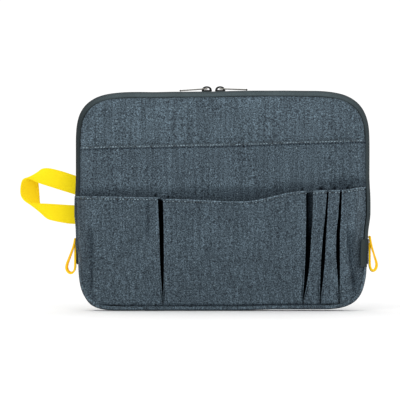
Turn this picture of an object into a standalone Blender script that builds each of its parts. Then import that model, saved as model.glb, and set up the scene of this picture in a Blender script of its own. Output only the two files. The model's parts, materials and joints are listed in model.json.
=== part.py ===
"""Zipped travel document organizer: a padded front cover and back shell joined by a fabric
gusset, a zip with two sliders, a slip pocket, five front pockets, a hand strap and two side loops.

Frame: +X to the right seen from the front, -Y out of the front, +Z up. The origin is the
middle of the base that the organizer stands on. All lengths are metres.
"""
import math

import bmesh
import bpy
from mathutils import Vector

# Driving dimensions
WIDTH = 0.310
HEIGHT = 0.231
GAP = 0.0003                     # clearance between pieces that touch
TOP_REACH = (0.062, 0.056)       # how far a top corner reaches along X and Z
BOTTOM_REACH = (0.048, 0.064)    # how far a bottom corner reaches along X and Z
CORNER_POWER = 3.0               # 2 is an elliptical corner, more is squarer
CORNER_STEPS = 9

# Layers of the padded panels, as distances from the middle plane y = 0
SHELL_FACE = 0.0120
SHELL_BACK = 0.0110
FOAM_FACE = 0.0107
FOAM_BACK = 0.0082
LINING_FACE = 0.0079
LINING_BACK = 0.0074
SHELL_INSET = 0.0055             # edge of the outer fabric inside the silhouette
PADDING_INSET = 0.0090           # edge of the foam and of the lining

# Gusset and zip, as (inset from the silhouette, distance from the middle plane)
GUSSET_THICKNESS = 0.0012
TAPE_LINE = [(0.0087, 0.0101), (0.0062, 0.0101), (0.0032, 0.0092),
             (0.0014, 0.0068), (0.0008, 0.0043), (0.0008, 0.0023)]
SIDE_LINE = [(0.0047, -0.0100), (0.0032, -0.0092), (0.0014, -0.0068), (0.0008, -0.0040),
             (0.0008, 0.0040), (0.0014, 0.0068), (0.0032, 0.0092), (0.0062, 0.0101),
             (0.0087, 0.0101)]
BASE_LINE = [(0.0044, -0.0100), (0.0026, -0.0097), (0.0010, -0.0090), (0.0006, -0.0082),
             (0.0006, 0.0082), (0.0010, 0.0090), (0.0026, 0.0097), (0.0062, 0.0101),
             (0.0087, 0.0101)]
TEETH_INSET = (0.0, 0.0019)
TEETH_Y = (0.00055, 0.0020)
BINDING_INSET = (0.0058, 0.0087)
BINDING_Y = (0.0079, 0.0090)

# Zip ends, tabs and label
TAB_Z = (0.0486, 0.0754)
TAB_Y = 0.0060
TAB_X = (0.1553, 0.1563)
STOP_Z = (0.0610, 0.0632)
STOP_X = (0.1516, 0.1526)
LABEL_X = (0.1470, 0.1543)
LABEL_Z = (0.0460, 0.0754)
LABEL_Y = (-0.0196, -0.0186)

# Zip sliders and pullers
SLIDER_X = (-0.0165, -0.0024)
SLIDER_HALF_LENGTH = 0.0055
SLIDER_HALF_WIDTH = 0.0042
SLIDER_PLATES_Z = (0.2274, 0.2287, 0.2314, 0.2327)
SLIDER_NECK_HALF = 0.00025
CROWN_Z = 0.2330
CROWN_OUTER = (0.0052, 0.0041)
CROWN_INNER = (0.0039, 0.0028)
CROWN_HALF_WIDTH = 0.0016
CROWN_STEPS = 12
PIN_Z = 0.2344
PULLER_HEEL = 0.0009             # metal behind the pin
PULLER_LENGTH = 0.0293
PULLER_HALF_WIDTH = 0.0031
PULLER_EYE = (0.0009, 0.0072, 0.00195)    # from, to, half width
PULLER_THICKNESS = 0.0010
PULLER_DROOP = math.radians(4.0)

# Slip pocket and front pockets
SHEET = 0.0010
SLIP_STAND = 0.0052              # how far the slip pocket stands off the cover
SLIP_MOUTH = (0.1724, 0.1803)    # height of its mouth at the left and at the right
SLIP_RISE = 0.55                 # share of its height in which it reaches that stand
SLIP_SQUARENESS = 8
SLIP_GRID = (22, 8)              # columns and levels of its faces
POCKET_STAND = 0.0075            # how far the front pockets stand off the slip pocket
POCKET_RISE = 0.45               # share of their height in which they swell
POCKET_FLOOR_SHARE = 0.6         # how far that swelling takes them, the mouth being 1
POCKET_LEAN = 0.5                # how soon their sides leave the floor's width, 1 being straight
POCKET_GRID = (14, 8)
POCKET_INSET = 0.0068            # floor and outer edges of the front pockets
POCKETS = {
    # name: edges at the mouth, edges at the floor, height of the mouth at both edges,
    # squareness across
    "left_pocket": ((-0.1480, -0.0690), (-0.1480, -0.0655), (0.1204, 0.1195), 8),
    "centre_pocket": ((-0.0640, 0.0885), (-0.0618, 0.0845), (0.1190, 0.1270), 12),
    "pen_pocket_1": ((0.0955, 0.1100), (0.0885, 0.1020), (0.1276, 0.1278), 6),
    "pen_pocket_2": ((0.1130, 0.1240), (0.1055, 0.1210), (0.1278, 0.1284), 6),
    "pen_pocket_3": ((0.1268, 0.1480), (0.1245, 0.1480), (0.1290, 0.1313), 6),
}

# Pockets inside the compartment
INNER_POCKET_Y = (0.0071, 0.0063)
INNER_POCKET_TOP = 0.150
CARD_PANEL_X = 0.104
CARD_PANEL_Z = (0.040, 0.150)

# Hand strap: near edge and far edge of the webbing, station by station, as (x, y, z)
STRAP_THICKNESS = 0.0016
STRAP_ROUNDING = 0.6             # how round the webbing runs between its stations
STRAP_HINGE = (-0.1498, 0.0119, 0.1166)
STRAP_NEAR = [(-0.1502, 0.0119, 0.1206), (-0.1640, 0.0119, 0.1248), (-0.1800, 0.0117, 0.1298),
              (-0.1950, 0.0108, 0.1346), (-0.2050, 0.0098, 0.1388), (-0.2115, 0.0098, 0.1376),
              (-0.2140, 0.0108, 0.1285), (-0.2128, 0.0100, 0.1200), (-0.2070, 0.0094, 0.1144),
              (-0.1980, 0.0104, 0.1132), (-0.1860, 0.0114, 0.1126), (-0.1680, 0.0119, 0.1114),
              (-0.1502, 0.0119, 0.1104)]
STRAP_FAR = [(-0.1502, 0.0119, 0.1404), (-0.1600, 0.0119, 0.1436), (-0.1720, 0.0121, 0.1474),
             (-0.1850, 0.0140, 0.1500), (-0.1935, 0.0190, 0.1480), (-0.1962, 0.0232, 0.1400),
             (-0.1955, 0.0245, 0.1260), (-0.1945, 0.0240, 0.1120), (-0.1915, 0.0210, 0.1025),
             (-0.1860, 0.0165, 0.0972), (-0.1780, 0.0130, 0.0944), (-0.1640, 0.0120, 0.0918),
             (-0.1502, 0.0119, 0.0908)]

# Side loops: a teardrop of narrow tape hanging from its top end
LOOP_TOP = (0.1571, 0.0775)
LOOP_OUTLINE = [(-0.0006, 0.0), (-0.0004, -0.0120), (-0.0005, -0.0290), (0.0004, -0.0333),
                (0.0028, -0.0362), (0.0055, -0.0360), (0.0076, -0.0335), (0.0081, -0.0300),
                (0.0072, -0.0250), (0.0034, -0.0120), (0.0009, 0.0)]
LOOP_HOLE = [(0.0007, -0.0085), (0.0005, -0.0288), (0.0013, -0.0326), (0.0032, -0.0349),
             (0.0053, -0.0348), (0.0067, -0.0328), (0.0070, -0.0300), (0.0062, -0.0254),
             (0.0024, -0.0125)]
LOOP_HALF_WIDTH = 0.0045

COLOURS = {
    # finish: linear colour, roughness, metallic
    "denim": ((0.068, 0.090, 0.112), 0.95, 0.0),
    "gusset_fabric": ((0.043, 0.060, 0.066), 0.85, 0.0),
    "foam": ((0.55, 0.55, 0.52), 0.95, 0.0),
    "lining": ((0.045, 0.050, 0.055), 0.80, 0.0),
    "zip_coil": ((0.030, 0.036, 0.038), 0.45, 0.0),
    "black_tape": ((0.034, 0.044, 0.046), 0.75, 0.0),
    "gunmetal": ((0.060, 0.062, 0.060), 0.35, 1.0),
    "puller_metal": ((0.220, 0.215, 0.195), 0.38, 1.0),
    "yellow_webbing": ((0.960, 0.760, 0.030), 0.70, 0.0),
    "yellow_tape": ((0.950, 0.580, 0.020), 0.65, 0.0),
}


# ---- helpers

def clear_scene():
    for obj in list(bpy.data.objects):
        bpy.data.objects.remove(obj)


def finish_material(name):
    """Return the named finish as a Principled material, made on first use."""
    if name in bpy.data.materials:
        return bpy.data.materials[name]
    colour, roughness, metallic = COLOURS[name]
    material = bpy.data.materials.new(name)
    material.use_nodes = True
    shader = material.node_tree.nodes["Principled BSDF"]
    shader.inputs["Base Color"].default_value = (*colour, 1.0)
    shader.inputs["Roughness"].default_value = roughness
    shader.inputs["Metallic"].default_value = metallic
    return material


def add_piece(name, bm, finish, origin=(0.0, 0.0, 0.0)):
    """Make an object from a bmesh in world coordinates, with its origin on its joint axis."""
    bmesh.ops.recalc_face_normals(bm, faces=bm.faces)
    if bm.calc_volume(signed=True) < 0.0:
        bmesh.ops.reverse_faces(bm, faces=bm.faces)
    bmesh.ops.translate(bm, verts=bm.verts, vec=-Vector(origin))
    mesh = bpy.data.meshes.new(name)
    bm.to_mesh(mesh)
    bm.free()
    obj = bpy.data.objects.new(name, mesh)
    obj.location = origin
    obj.data.materials.append(finish_material(finish))
    bpy.context.collection.objects.link(obj)
    return obj


def smoothstep(value):
    value = min(max(value, 0.0), 1.0)
    return value * value * (3.0 - 2.0 * value)


def prism(outline, holes, low, high, place):
    """Extrude a flat outline with holes from low to high; place puts (u, v, w) in the world."""
    bm = bmesh.new()
    edges = []
    for loop in [outline] + holes:
        verts = [bm.verts.new((u, v, low)) for u, v in loop]
        edges += [bm.edges.new((verts[i - 1], verts[i])) for i in range(len(verts))]
    bmesh.ops.triangle_fill(bm, edges=edges, use_beauty=True, use_dissolve=False)
    lower = bm.faces[:]
    grown = bmesh.ops.extrude_face_region(bm, geom=lower, use_keep_orig=True)
    top = [item for item in grown["geom"] if isinstance(item, bmesh.types.BMVert)]
    bmesh.ops.translate(bm, verts=top, vec=(0.0, 0.0, high - low))
    for vert in bm.verts:
        vert.co = place(*vert.co)
    return bm


def loft(rings, closed):
    """Skin rings of points that have the same count, as a tube or as a closed ring of tubes."""
    bm = bmesh.new()
    rows = [[bm.verts.new(point) for point in ring] for ring in rings]
    count = len(rows[0])
    for i in range(len(rows) if closed else len(rows) - 1):
        first = rows[i]
        second = rows[(i + 1) % len(rows)]
        for j in range(count):
            bm.faces.new((first[j], first[(j + 1) % count], second[(j + 1) % count], second[j]))
    if not closed:
        bm.faces.new(rows[0])
        bm.faces.new(rows[-1])
    return bm


# ---- the rounded outline that every layer follows

def corner_stations(side, level, reverse):
    """Stations round one corner: side is -1 left or 1 right, level is -1 bottom or 1 top."""
    reach_x, reach_z = TOP_REACH if level > 0 else BOTTOM_REACH
    centre_x = side * (WIDTH / 2 - reach_x)
    centre_z = HEIGHT - reach_z if level > 0 else reach_z
    stations = []
    for step in range(CORNER_STEPS + 1):
        angle = math.pi / 2 * step / CORNER_STEPS
        across = max(math.cos(angle), 0.0) ** (2 / CORNER_POWER)
        along = max(math.sin(angle), 0.0) ** (2 / CORNER_POWER)
        stations.append((centre_x, centre_z, reach_x, reach_z, side * across, level * along))
    return stations[::-1] if reverse else stations


def side_station(side, z):
    reach_x, reach_z = TOP_REACH
    return (side * (WIDTH / 2 - reach_x), z, reach_x, reach_z, side, 0.0)


def at(station, inset):
    """Where a station lies once the outline is drawn in by inset, as (x, z)."""
    centre_x, centre_z, reach_x, reach_z, across, along = station
    return centre_x + across * (reach_x - inset), centre_z + along * (reach_z - inset)


def lower_stations():
    return corner_stations(-1, -1, False) + corner_stations(1, -1, True)


def upper_stations():
    start = BOTTOM_REACH[1] + GAP
    over = corner_stations(-1, 1, False) + corner_stations(1, 1, True)
    return [side_station(-1, start)] + over + [side_station(1, start)]


def full_stations():
    return lower_stations() + upper_stations()[1:-1][::-1]


def half_width(z, inset):
    """Half the width of the outline at a height in its lower part or on its straight sides."""
    reach_x, reach_z = BOTTOM_REACH
    drop = max(reach_z - z, 0.0) / (reach_z - inset)
    curve = (1.0 - min(drop, 1.0) ** CORNER_POWER) ** (1 / CORNER_POWER)
    return WIDTH / 2 - reach_x + (reach_x - inset) * curve


# ---- padded panels, seams and gusset

def slab(name, inset, face_y, back_y, finish):
    outline = [at(station, inset) for station in full_stations()]
    bm = prism(outline, [], face_y, back_y, lambda u, v, w: (u, w, v))
    return add_piece(name, bm, finish)


def thicken(line, thickness):
    """Turn an open line of (inset, y) points into a closed strip section."""
    near = []
    far = []
    for i, point in enumerate(line):
        before = Vector(line[max(i - 1, 0)])
        after = Vector(line[min(i + 1, len(line) - 1)])
        along = (after - before).normalized()
        across = Vector((-along.y, along.x)) * thickness / 2
        near.append(tuple(Vector(point) + across))
        far.append(tuple(Vector(point) - across))
    return near + far[::-1]


def swept(name, stations, sections, closed, finish):
    """Carry one section per station, each a list of (inset, y), along the outline."""
    rings = []
    for station, section in zip(stations, sections):
        ring = []
        for inset, y in section:
            x, z = at(station, inset)
            ring.append((x, y, z))
        rings.append(ring)
    return add_piece(name, loft(rings, closed), finish)


def padded_panels():
    for name, side in (("front", -1), ("back", 1)):
        slab(f"{name}_outer_panel", SHELL_INSET, side * SHELL_FACE, side * SHELL_BACK, "denim")
        slab(f"{name}_foam_pad", PADDING_INSET, side * FOAM_FACE, side * FOAM_BACK, "foam")
        slab(f"{name}_lining", PADDING_INSET, side * LINING_FACE, side * LINING_BACK, "lining")
        low, high = BINDING_INSET
        near, far = (side * value for value in BINDING_Y)
        section = [(low, near), (high, near), (high, far), (low, far)]
        stations = full_stations()
        swept(f"{name}_seam_binding", stations, [section] * len(stations), True, "black_tape")


def zip_halves():
    stations = upper_stations()
    for name, side in (("front", -1), ("back", 1)):
        line = [(inset, side * y) for inset, y in TAPE_LINE]
        section = thicken(line, GUSSET_THICKNESS)
        swept(f"{name}_zip_gusset", stations, [section] * len(stations), False, "gusset_fabric")
        low, high = TEETH_INSET
        near, far = (side * value for value in TEETH_Y)
        teeth = [(low, near), (high, near), (high, far), (low, far)]
        swept(f"{name}_zip_teeth", stations, [teeth] * len(stations), False, "zip_coil")


def lower_gusset():
    """The strip below the zip ends, rounded on the sides and flat under the base."""
    stations = lower_stations()
    sections = []
    for station in stations:
        flat = smoothstep(abs(station[5]))
        line = []
        for side_point, base_point in zip(SIDE_LINE, BASE_LINE):
            line.append(tuple(Vector(side_point).lerp(Vector(base_point), flat)))
        sections.append(thicken(line, GUSSET_THICKNESS))
    swept("lower_gusset", stations, sections, False, "denim")


def box_piece(name, low, high, finish):
    outline = [(low[0], low[1]), (high[0], low[1]), (high[0], high[1]), (low[0], high[1])]
    bm = prism(outline, [], low[2], high[2], lambda u, v, w: (u, v, w))
    return add_piece(name, bm, finish)


def zip_end_pieces():
    """Fabric tabs over the zip ends, the stops under them and the blank side label."""
    for name, side in (("left", -1), ("right", 1)):
        tab_x = sorted((side * TAB_X[0], side * TAB_X[1]))
        box_piece(f"{name}_zip_end_tab", (tab_x[0], -TAB_Y, TAB_Z[0]),
                  (tab_x[1], TAB_Y, TAB_Z[1]), "black_tape")
        stop_x = sorted((side * STOP_X[0], side * STOP_X[1]))
        box_piece(f"{name}_zip_stop", (stop_x[0], -TEETH_Y[1], STOP_Z[0]),
                  (stop_x[1], TEETH_Y[1], STOP_Z[1]), "gunmetal")
    box_piece("side_label", (LABEL_X[0], LABEL_Y[0], LABEL_Z[0]),
              (LABEL_X[1], LABEL_Y[1], LABEL_Z[1]), "black_tape")


# ---- sheets: the slip pocket and the front pockets

def sheet_piece(name, rows, finish):
    """A fabric wall from rows of points on its inner face, thickened outwards."""
    bm = bmesh.new()
    grid = [[bm.verts.new(point) for point in row] for row in rows]
    for lower, upper in zip(grid, grid[1:]):
        for i in range(len(lower) - 1):
            bm.faces.new((lower[i], lower[i + 1], upper[i + 1], upper[i]))
    obj = add_piece(name, bm, finish)
    if obj.data.polygons[0].normal.y > 0.0:
        obj.data.flip_normals()
    wall = obj.modifiers.new("wall", "SOLIDIFY")
    wall.thickness = SHEET
    wall.offset = 1.0
    return obj


def slip_inner_y(x, z):
    """The inner face of the slip pocket, which stands off the cover towards its mouth."""
    across = min(abs(x) / half_width(z, SHELL_INSET), 1.0)
    height = (z - SHELL_INSET) / (SLIP_MOUTH[0] - SHELL_INSET)
    rise = math.sin(math.pi / 2 * min(max(height / SLIP_RISE, 0.0), 1.0))
    return -(SHELL_FACE + GAP + SLIP_STAND * (1.0 - across ** SLIP_SQUARENESS) * rise)


def floor_z(x, inset):
    """Height of the outline's lower edge at x."""
    reach_x, reach_z = BOTTOM_REACH
    past = max(abs(x) - (WIDTH / 2 - reach_x), 0.0) / (reach_x - inset)
    curve = (1.0 - min(past, 1.0) ** CORNER_POWER) ** (1 / CORNER_POWER)
    return reach_z - (reach_z - inset) * curve


def spread(count):
    """Values from -1 to 1, closer together towards both ends."""
    return [math.sin(math.pi / 2 * (2 * i / count - 1)) for i in range(count + 1)]


def slip_pocket():
    rows = []
    columns, levels = SLIP_GRID
    edge = WIDTH / 2 - SHELL_INSET
    for level in range(levels + 1):
        row = []
        for across in spread(columns):
            x = across * edge
            low = floor_z(x, SHELL_INSET)
            mouth = SLIP_MOUTH[0] + (SLIP_MOUTH[1] - SLIP_MOUTH[0]) * (across + 1) / 2
            z = low + (mouth - low) * level / levels
            row.append((x, slip_inner_y(x, z), z))
        rows.append(row)
    sheet_piece("slip_pocket", rows, "denim")


def front_pocket(name, mouth_edges, floor_edges, mouth_z, squareness):
    """One pocket front: deep at its mouth, sewn flat at its floor and along both sides."""
    rows = []
    columns, levels = POCKET_GRID
    for level in range(levels + 1):
        height = level / levels
        swell = POCKET_FLOOR_SHARE + (1.0 - POCKET_FLOOR_SHARE) * height
        depth = POCKET_STAND * smoothstep(height / POCKET_RISE) * swell
        row = []
        for across in spread(columns):
            share = (across + 1) / 2
            floor_x = floor_edges[0] + (floor_edges[1] - floor_edges[0]) * share
            mouth_x = mouth_edges[0] + (mouth_edges[1] - mouth_edges[0]) * share
            x = floor_x + (mouth_x - floor_x) * height ** POCKET_LEAN
            low = floor_z(floor_x, POCKET_INSET)
            z = low + (mouth_z[0] + (mouth_z[1] - mouth_z[0]) * share - low) * height
            backing = slip_inner_y(x, z) - SHEET - GAP
            row.append((x, backing - depth * (1.0 - abs(across) ** squareness), z))
        rows.append(row)
    sheet_piece(name, rows, "denim")


def inner_pockets():
    """A document pocket on the back lining and a card panel on the front lining."""
    stations = lower_stations()
    outline = [at(station, PADDING_INSET + GAP) for station in stations]
    edge = WIDTH / 2 - PADDING_INSET - GAP
    outline += [(edge, INNER_POCKET_TOP), (-edge, INNER_POCKET_TOP)]
    low, high = INNER_POCKET_Y
    bm = prism(outline, [], low, high, lambda u, v, w: (u, w, v))
    add_piece("document_pocket", bm, "lining")
    box_piece("card_pocket", (-CARD_PANEL_X, -low, CARD_PANEL_Z[0]),
              (CARD_PANEL_X, -high, CARD_PANEL_Z[1]), "lining")


# ---- zip sliders

def slider(name, centre_x, outward):
    """A slider on the top run of the zip; outward is the way its puller lies, -1 or 1."""
    origin = (centre_x, 0.0, PIN_Z)
    bottom, bottom_top, plate, plate_top = SLIDER_PLATES_Z
    wide = SLIDER_HALF_WIDTH
    neck = SLIDER_NECK_HALF
    profile = [(-wide, bottom), (wide, bottom), (wide, bottom_top), (neck, bottom_top),
               (neck, plate), (wide, plate), (wide, plate_top), (-wide, plate_top),
               (-wide, plate), (-neck, plate), (-neck, bottom_top), (-wide, bottom_top)]
    ends = (centre_x - SLIDER_HALF_LENGTH, centre_x + SLIDER_HALF_LENGTH)
    bm = prism(profile, [], ends[0], ends[1], lambda u, v, w: (w, u, v))
    add_piece(f"{name}_slider_body", bm, "gunmetal", origin)

    arch = []
    for reach, rise, order in ((*CROWN_OUTER, 1), (*CROWN_INNER, -1)):
        side = []
        for step in range(CROWN_STEPS + 1):
            angle = math.pi * step / CROWN_STEPS
            side.append((centre_x + reach * math.cos(angle), CROWN_Z + rise * math.sin(angle)))
        arch += side[::order]
    half = CROWN_HALF_WIDTH
    bm = prism(arch, [], -half, half, lambda u, v, w: (u, w, v))
    add_piece(f"{name}_slider_crown", bm, "gunmetal", origin)

    wide = PULLER_HALF_WIDTH
    eye_near, eye_far, eye_half = PULLER_EYE
    tip = PULLER_LENGTH
    bar = [(-PULLER_HEEL, -wide), (tip - wide / 2, -wide), (tip, -wide / 2), (tip, wide / 2),
           (tip - wide / 2, wide), (-PULLER_HEEL, wide)]
    eye = [(eye_near, -eye_half), (eye_far, -eye_half), (eye_far, eye_half),
           (eye_near, eye_half)]
    drop = math.tan(PULLER_DROOP)
    half = PULLER_THICKNESS / 2

    def lay(u, v, w):
        return centre_x + outward * u, v, PIN_Z + w - u * drop

    bm = prism(bar, [eye], -half, half, lay)
    add_piece(f"{name}_puller", bm, "puller_metal", origin)


# ---- webbing strap and side loops

def hand_strap():
    """Webbing sewn in the left back seam by both ends, folded back on itself at its far end."""
    bm = bmesh.new()
    near = [bm.verts.new(point) for point in STRAP_NEAR]
    far = [bm.verts.new(point) for point in STRAP_FAR]
    for i in range(len(near) - 1):
        bm.faces.new((near[i], near[i + 1], far[i + 1], far[i]))
    bmesh.ops.subdivide_edges(bm, edges=bm.edges[:], cuts=1, use_grid_fill=True,
                              smooth=STRAP_ROUNDING)
    obj = add_piece("hand_strap", bm, "yellow_webbing", STRAP_HINGE)
    webbing = obj.modifiers.new("webbing", "SOLIDIFY")
    webbing.thickness = STRAP_THICKNESS
    webbing.offset = 0.0


def side_loops():
    for name, side in (("left", -1), ("right", 1)):
        top_x, top_z = LOOP_TOP
        half = LOOP_HALF_WIDTH

        def hang(u, v, w):
            return side * (top_x + u), w, top_z + v

        bm = prism(LOOP_OUTLINE, [LOOP_HOLE], -half, half, hang)
        add_piece(f"{name}_side_loop", bm, "yellow_tape", (side * top_x, 0.0, top_z))


def main():
    clear_scene()
    padded_panels()
    zip_halves()
    lower_gusset()
    zip_end_pieces()
    slip_pocket()
    for name, (mouth_edges, floor_edges, mouth_z, squareness) in POCKETS.items():
        front_pocket(name, mouth_edges, floor_edges, mouth_z, squareness)
    inner_pockets()
    for name, centre_x, outward in (("left", SLIDER_X[0], -1), ("right", SLIDER_X[1], 1)):
        slider(name, centre_x, outward)
    hand_strap()
    side_loops()


main()
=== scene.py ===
"""Travel document organizer: a padded denim zip case with a slip pocket, pleated front pockets,
a webbing hand strap and two side loops, modelled round a fixed frame by add-on operators.

Metres, +Z up, -Y out of the pocket front, +X to the right seen from the front.
"""
import json
import math

import bpy
from bpy.props import FloatProperty, FloatVectorProperty, IntProperty, PointerProperty
from mathutils import Matrix, Vector, noise


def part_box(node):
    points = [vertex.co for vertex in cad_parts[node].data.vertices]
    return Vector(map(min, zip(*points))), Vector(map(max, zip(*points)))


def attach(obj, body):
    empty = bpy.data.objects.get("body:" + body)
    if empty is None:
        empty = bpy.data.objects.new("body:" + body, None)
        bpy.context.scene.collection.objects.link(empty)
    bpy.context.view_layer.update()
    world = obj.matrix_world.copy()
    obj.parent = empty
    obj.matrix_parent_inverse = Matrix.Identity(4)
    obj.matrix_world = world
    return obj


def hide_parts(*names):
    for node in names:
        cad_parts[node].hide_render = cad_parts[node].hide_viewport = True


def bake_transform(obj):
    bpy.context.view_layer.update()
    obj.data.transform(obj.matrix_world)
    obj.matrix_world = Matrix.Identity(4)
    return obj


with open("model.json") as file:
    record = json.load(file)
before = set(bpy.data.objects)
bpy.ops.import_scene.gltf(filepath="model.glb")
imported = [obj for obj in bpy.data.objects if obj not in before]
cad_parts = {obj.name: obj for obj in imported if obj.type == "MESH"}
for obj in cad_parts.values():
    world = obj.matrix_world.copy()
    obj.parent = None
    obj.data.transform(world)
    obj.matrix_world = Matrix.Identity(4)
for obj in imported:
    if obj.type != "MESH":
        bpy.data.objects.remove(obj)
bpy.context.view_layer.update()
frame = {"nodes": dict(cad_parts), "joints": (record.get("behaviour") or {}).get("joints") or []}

bl_info = {
    "name": "Travel Document Organizer",
    "version": (1, 0, 0),
    "blender": (4, 5, 0),
    "location": "3D View > Sidebar > Organizer",
    "description": "Builds a padded denim zip organizer round its fixed frame",
    "category": "Object",
}

# Outline of the case, from the zip teeth that run round its edge
TEETH_LOW, TEETH_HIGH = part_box("front_zip_teeth")
HALF_WIDTH = TEETH_HIGH.x
HEIGHT = TEETH_HIGH.z
ZIP_START = TEETH_LOW.z                  # height at which the zip begins on both sides
TOP_REACH = (0.062, 0.056)               # how far a top corner reaches along X and Z
BOTTOM_REACH = (0.048, ZIP_START)
CORNER_POWER = 3.0
SIDE_SHARE = 0.78                        # seams lie closer to the edge on the sides than on top
PANEL_INSET = HALF_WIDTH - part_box("front_outer_panel")[1].x
LINING_INSET = HALF_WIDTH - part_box("front_lining")[1].x
PANEL_FACE = -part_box("front_outer_panel")[0].y
PANEL_BACK = -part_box("front_outer_panel")[1].y
FLOOR_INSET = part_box("centre_pocket")[0].z     # height of the pockets' floor seam

# Slip pocket, which stands off the cover, and its mouth
SLIP_GAP = 0.0003
SLIP_STAND = 0.0052
SLIP_RISE = 0.55
SLIP_MOUTH = (0.1724, 0.1803)
SLIP_SEAM = 0.0013                       # how far its stitches lie below its mouth
CLOTH = 0.0010                           # thickness of the denim and of the band fabric
LINING_CLOTH = 0.0005                    # thickness of the linings and inner pockets
TAB_TAPE = 0.0009                        # thickness of the end tabs and of the label
ZIP_TAPE_THICKNESS = 0.0006
LOOP_THICKNESS = 0.0020

# Front pockets. Edges are x at even steps from the floor to the mouth; a tucked edge folds back
# under the front, and a sewn edge slopes down to its seam from a share of the width.
POCKETS = {
    "left_pocket": {"left": (-0.1555, -0.1555), "slope": (0.62, None), "stand": 0.0072,
                    "right": (-0.0625, -0.0640, -0.0653, -0.0657, -0.0665, -0.0675)},
    "centre_pocket": {"left": (-0.0627, -0.0622, -0.0618, -0.0619, -0.0621, -0.0626),
                      "right": (0.0843, 0.0860, 0.0871, 0.0875, 0.0874, 0.0873),
                      "slope": (None, None), "stand": 0.0075},
    "pen_pocket_1": {"left": (0.0846, 0.0891, 0.0918, 0.0930, 0.0938, 0.0941),
                     "right": (0.1029, 0.1031, 0.1040, 0.1055, 0.1071, 0.1089),
                     "slope": (None, None), "stand": 0.0066},
    "pen_pocket_2": {"left": (0.1032, 0.1058, 0.1079, 0.1087, 0.1092, 0.1106),
                     "right": (0.1230, 0.1222, 0.1202, 0.1197, 0.1206, 0.1223),
                     "slope": (None, None), "stand": 0.0070},
    "pen_pocket_3": {"left": (0.1233, 0.1240, 0.1240, 0.1233, 0.1233, 0.1243),
                     "right": (0.1495, 0.1495), "slope": (None, 0.12), "stand": 0.0066},
}
POCKET_GAP = 0.0003
TUCK = 0.0026                            # how far a tucked edge runs back under the front
FACE_SHARE = 0.86                        # share of the width that faces out before the tuck

# Creases in the pocket fronts: x at the top and foot, from z, to z, reach to the left and to the right
# of the fold, and how much painted shade lies in the fold, which also sets its depth
CREASES = [
    (-0.0770, -0.0772, 0.074, 0.126, 0.0150, 0.0012, 0.46),
    (-0.1366, -0.1384, 0.010, 0.090, 0.0110, 0.0026, 0.50),
    (0.1299, 0.1397, 0.012, 0.088, 0.0018, 0.0150, 0.66),
    (-0.0880, -0.0875, 0.030, 0.082, 0.0050, 0.0020, 0.16),
    (0.0140, 0.0200, 0.060, 0.114, 0.0100, 0.0080, 0.12),
    (-0.0420, -0.0380, 0.050, 0.110, 0.0090, 0.0070, 0.10),
    (0.0620, 0.0560, 0.020, 0.100, 0.0090, 0.0070, 0.10),
    (-0.1490, -0.1470, -0.020, 0.124, 0.0060, 0.0100, 0.17),
    (0.1470, 0.1430, -0.020, 0.132, 0.0110, 0.0070, 0.13),
]
# The gapes are painted as black shadow spots on the slip pocket
GAPES = [(-0.0705, 0.0023), (-0.0566, 0.0025), (0.0834, 0.0019), (0.1032, 0.0034),
         (0.1172, 0.0028), (0.1305, 0.0026)]    # where the mouths gape: x and half width

# Sections of the bands round the edge, as (inset from the outline, distance from the middle)
ZIP_BAND = [(0.0066, 0.0100), (0.0060, 0.0112), (0.0046, 0.0117), (0.0026, 0.0105),
            (0.0012, 0.0084), (0.0007, 0.0066), (0.0006, 0.0050), (0.0009, 0.0046)]
ZIP_TAPE = [(0.0014, 0.0066), (0.0013, 0.0045), (0.0013, 0.0028), (0.0012, 0.0017)]
SIDE_BAND = [(0.0048, -0.0104), (0.0030, -0.0096), (0.0014, -0.0072), (0.0008, -0.0040),
             (0.0008, 0.0), (0.0008, 0.0040), (0.0014, 0.0072), (0.0030, 0.0096),
             (0.0048, 0.0108), (0.0062, 0.0106)]
BASE_BAND = [(0.0050, -0.0112), (0.0032, -0.0110), (0.0014, -0.0102), (0.0006, -0.0084),
             (0.0006, 0.0), (0.0006, 0.0082), (0.0012, 0.0094), (0.0028, 0.0104),
             (0.0048, 0.0110), (0.0062, 0.0106)]

# Hand strap: near and far edge of the webbing, station by station
STRAP_NEAR = [(-0.1490, 0.0113, 0.1203), (-0.1640, 0.0119, 0.1248), (-0.1800, 0.0117, 0.1298),
              (-0.1950, 0.0108, 0.1346), (-0.2050, 0.0098, 0.1388), (-0.2115, 0.0098, 0.1376),
              (-0.2140, 0.0108, 0.1285), (-0.2128, 0.0100, 0.1200), (-0.2070, 0.0094, 0.1144),
              (-0.1980, 0.0104, 0.1132), (-0.1860, 0.0114, 0.1126), (-0.1680, 0.0119, 0.1114),
              (-0.1490, 0.0113, 0.1103)]
STRAP_FAR = [(-0.1490, 0.0113, 0.1401), (-0.1600, 0.0119, 0.1436), (-0.1720, 0.0121, 0.1474),
             (-0.1850, 0.0140, 0.1500), (-0.1935, 0.0190, 0.1480), (-0.1962, 0.0232, 0.1400),
             (-0.1955, 0.0245, 0.1260), (-0.1945, 0.0240, 0.1120), (-0.1915, 0.0210, 0.1025),
             (-0.1860, 0.0165, 0.0972), (-0.1780, 0.0130, 0.0944), (-0.1640, 0.0120, 0.0918),
             (-0.1490, 0.0113, 0.0908)]
STRAP_THICKNESS = 0.0016

# Side loops: middle line of the tape from its sewn end round and back, as (outward, up)
LOOP_TOP = (0.1554, 0.0775)
LOOP_LINE = [(-0.0008, -0.0010), (0.0002, 0.0002), (0.0008, -0.0040), (0.0020, -0.0095),
             (0.0044, -0.0175), (0.0070, -0.0262), (0.0074, -0.0305), (0.0062, -0.0340),
             (0.0040, -0.0356), (0.0018, -0.0346), (0.0004, -0.0310), (0.0001, -0.0240),
             (0.0001, -0.0130), (-0.0004, -0.0060)]

# Edges flatter than these angles, in degrees, are shaded smooth
CLOTH_ANGLE = 60
METAL_ANGLE = 40
ALL_ROUND = 180


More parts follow.
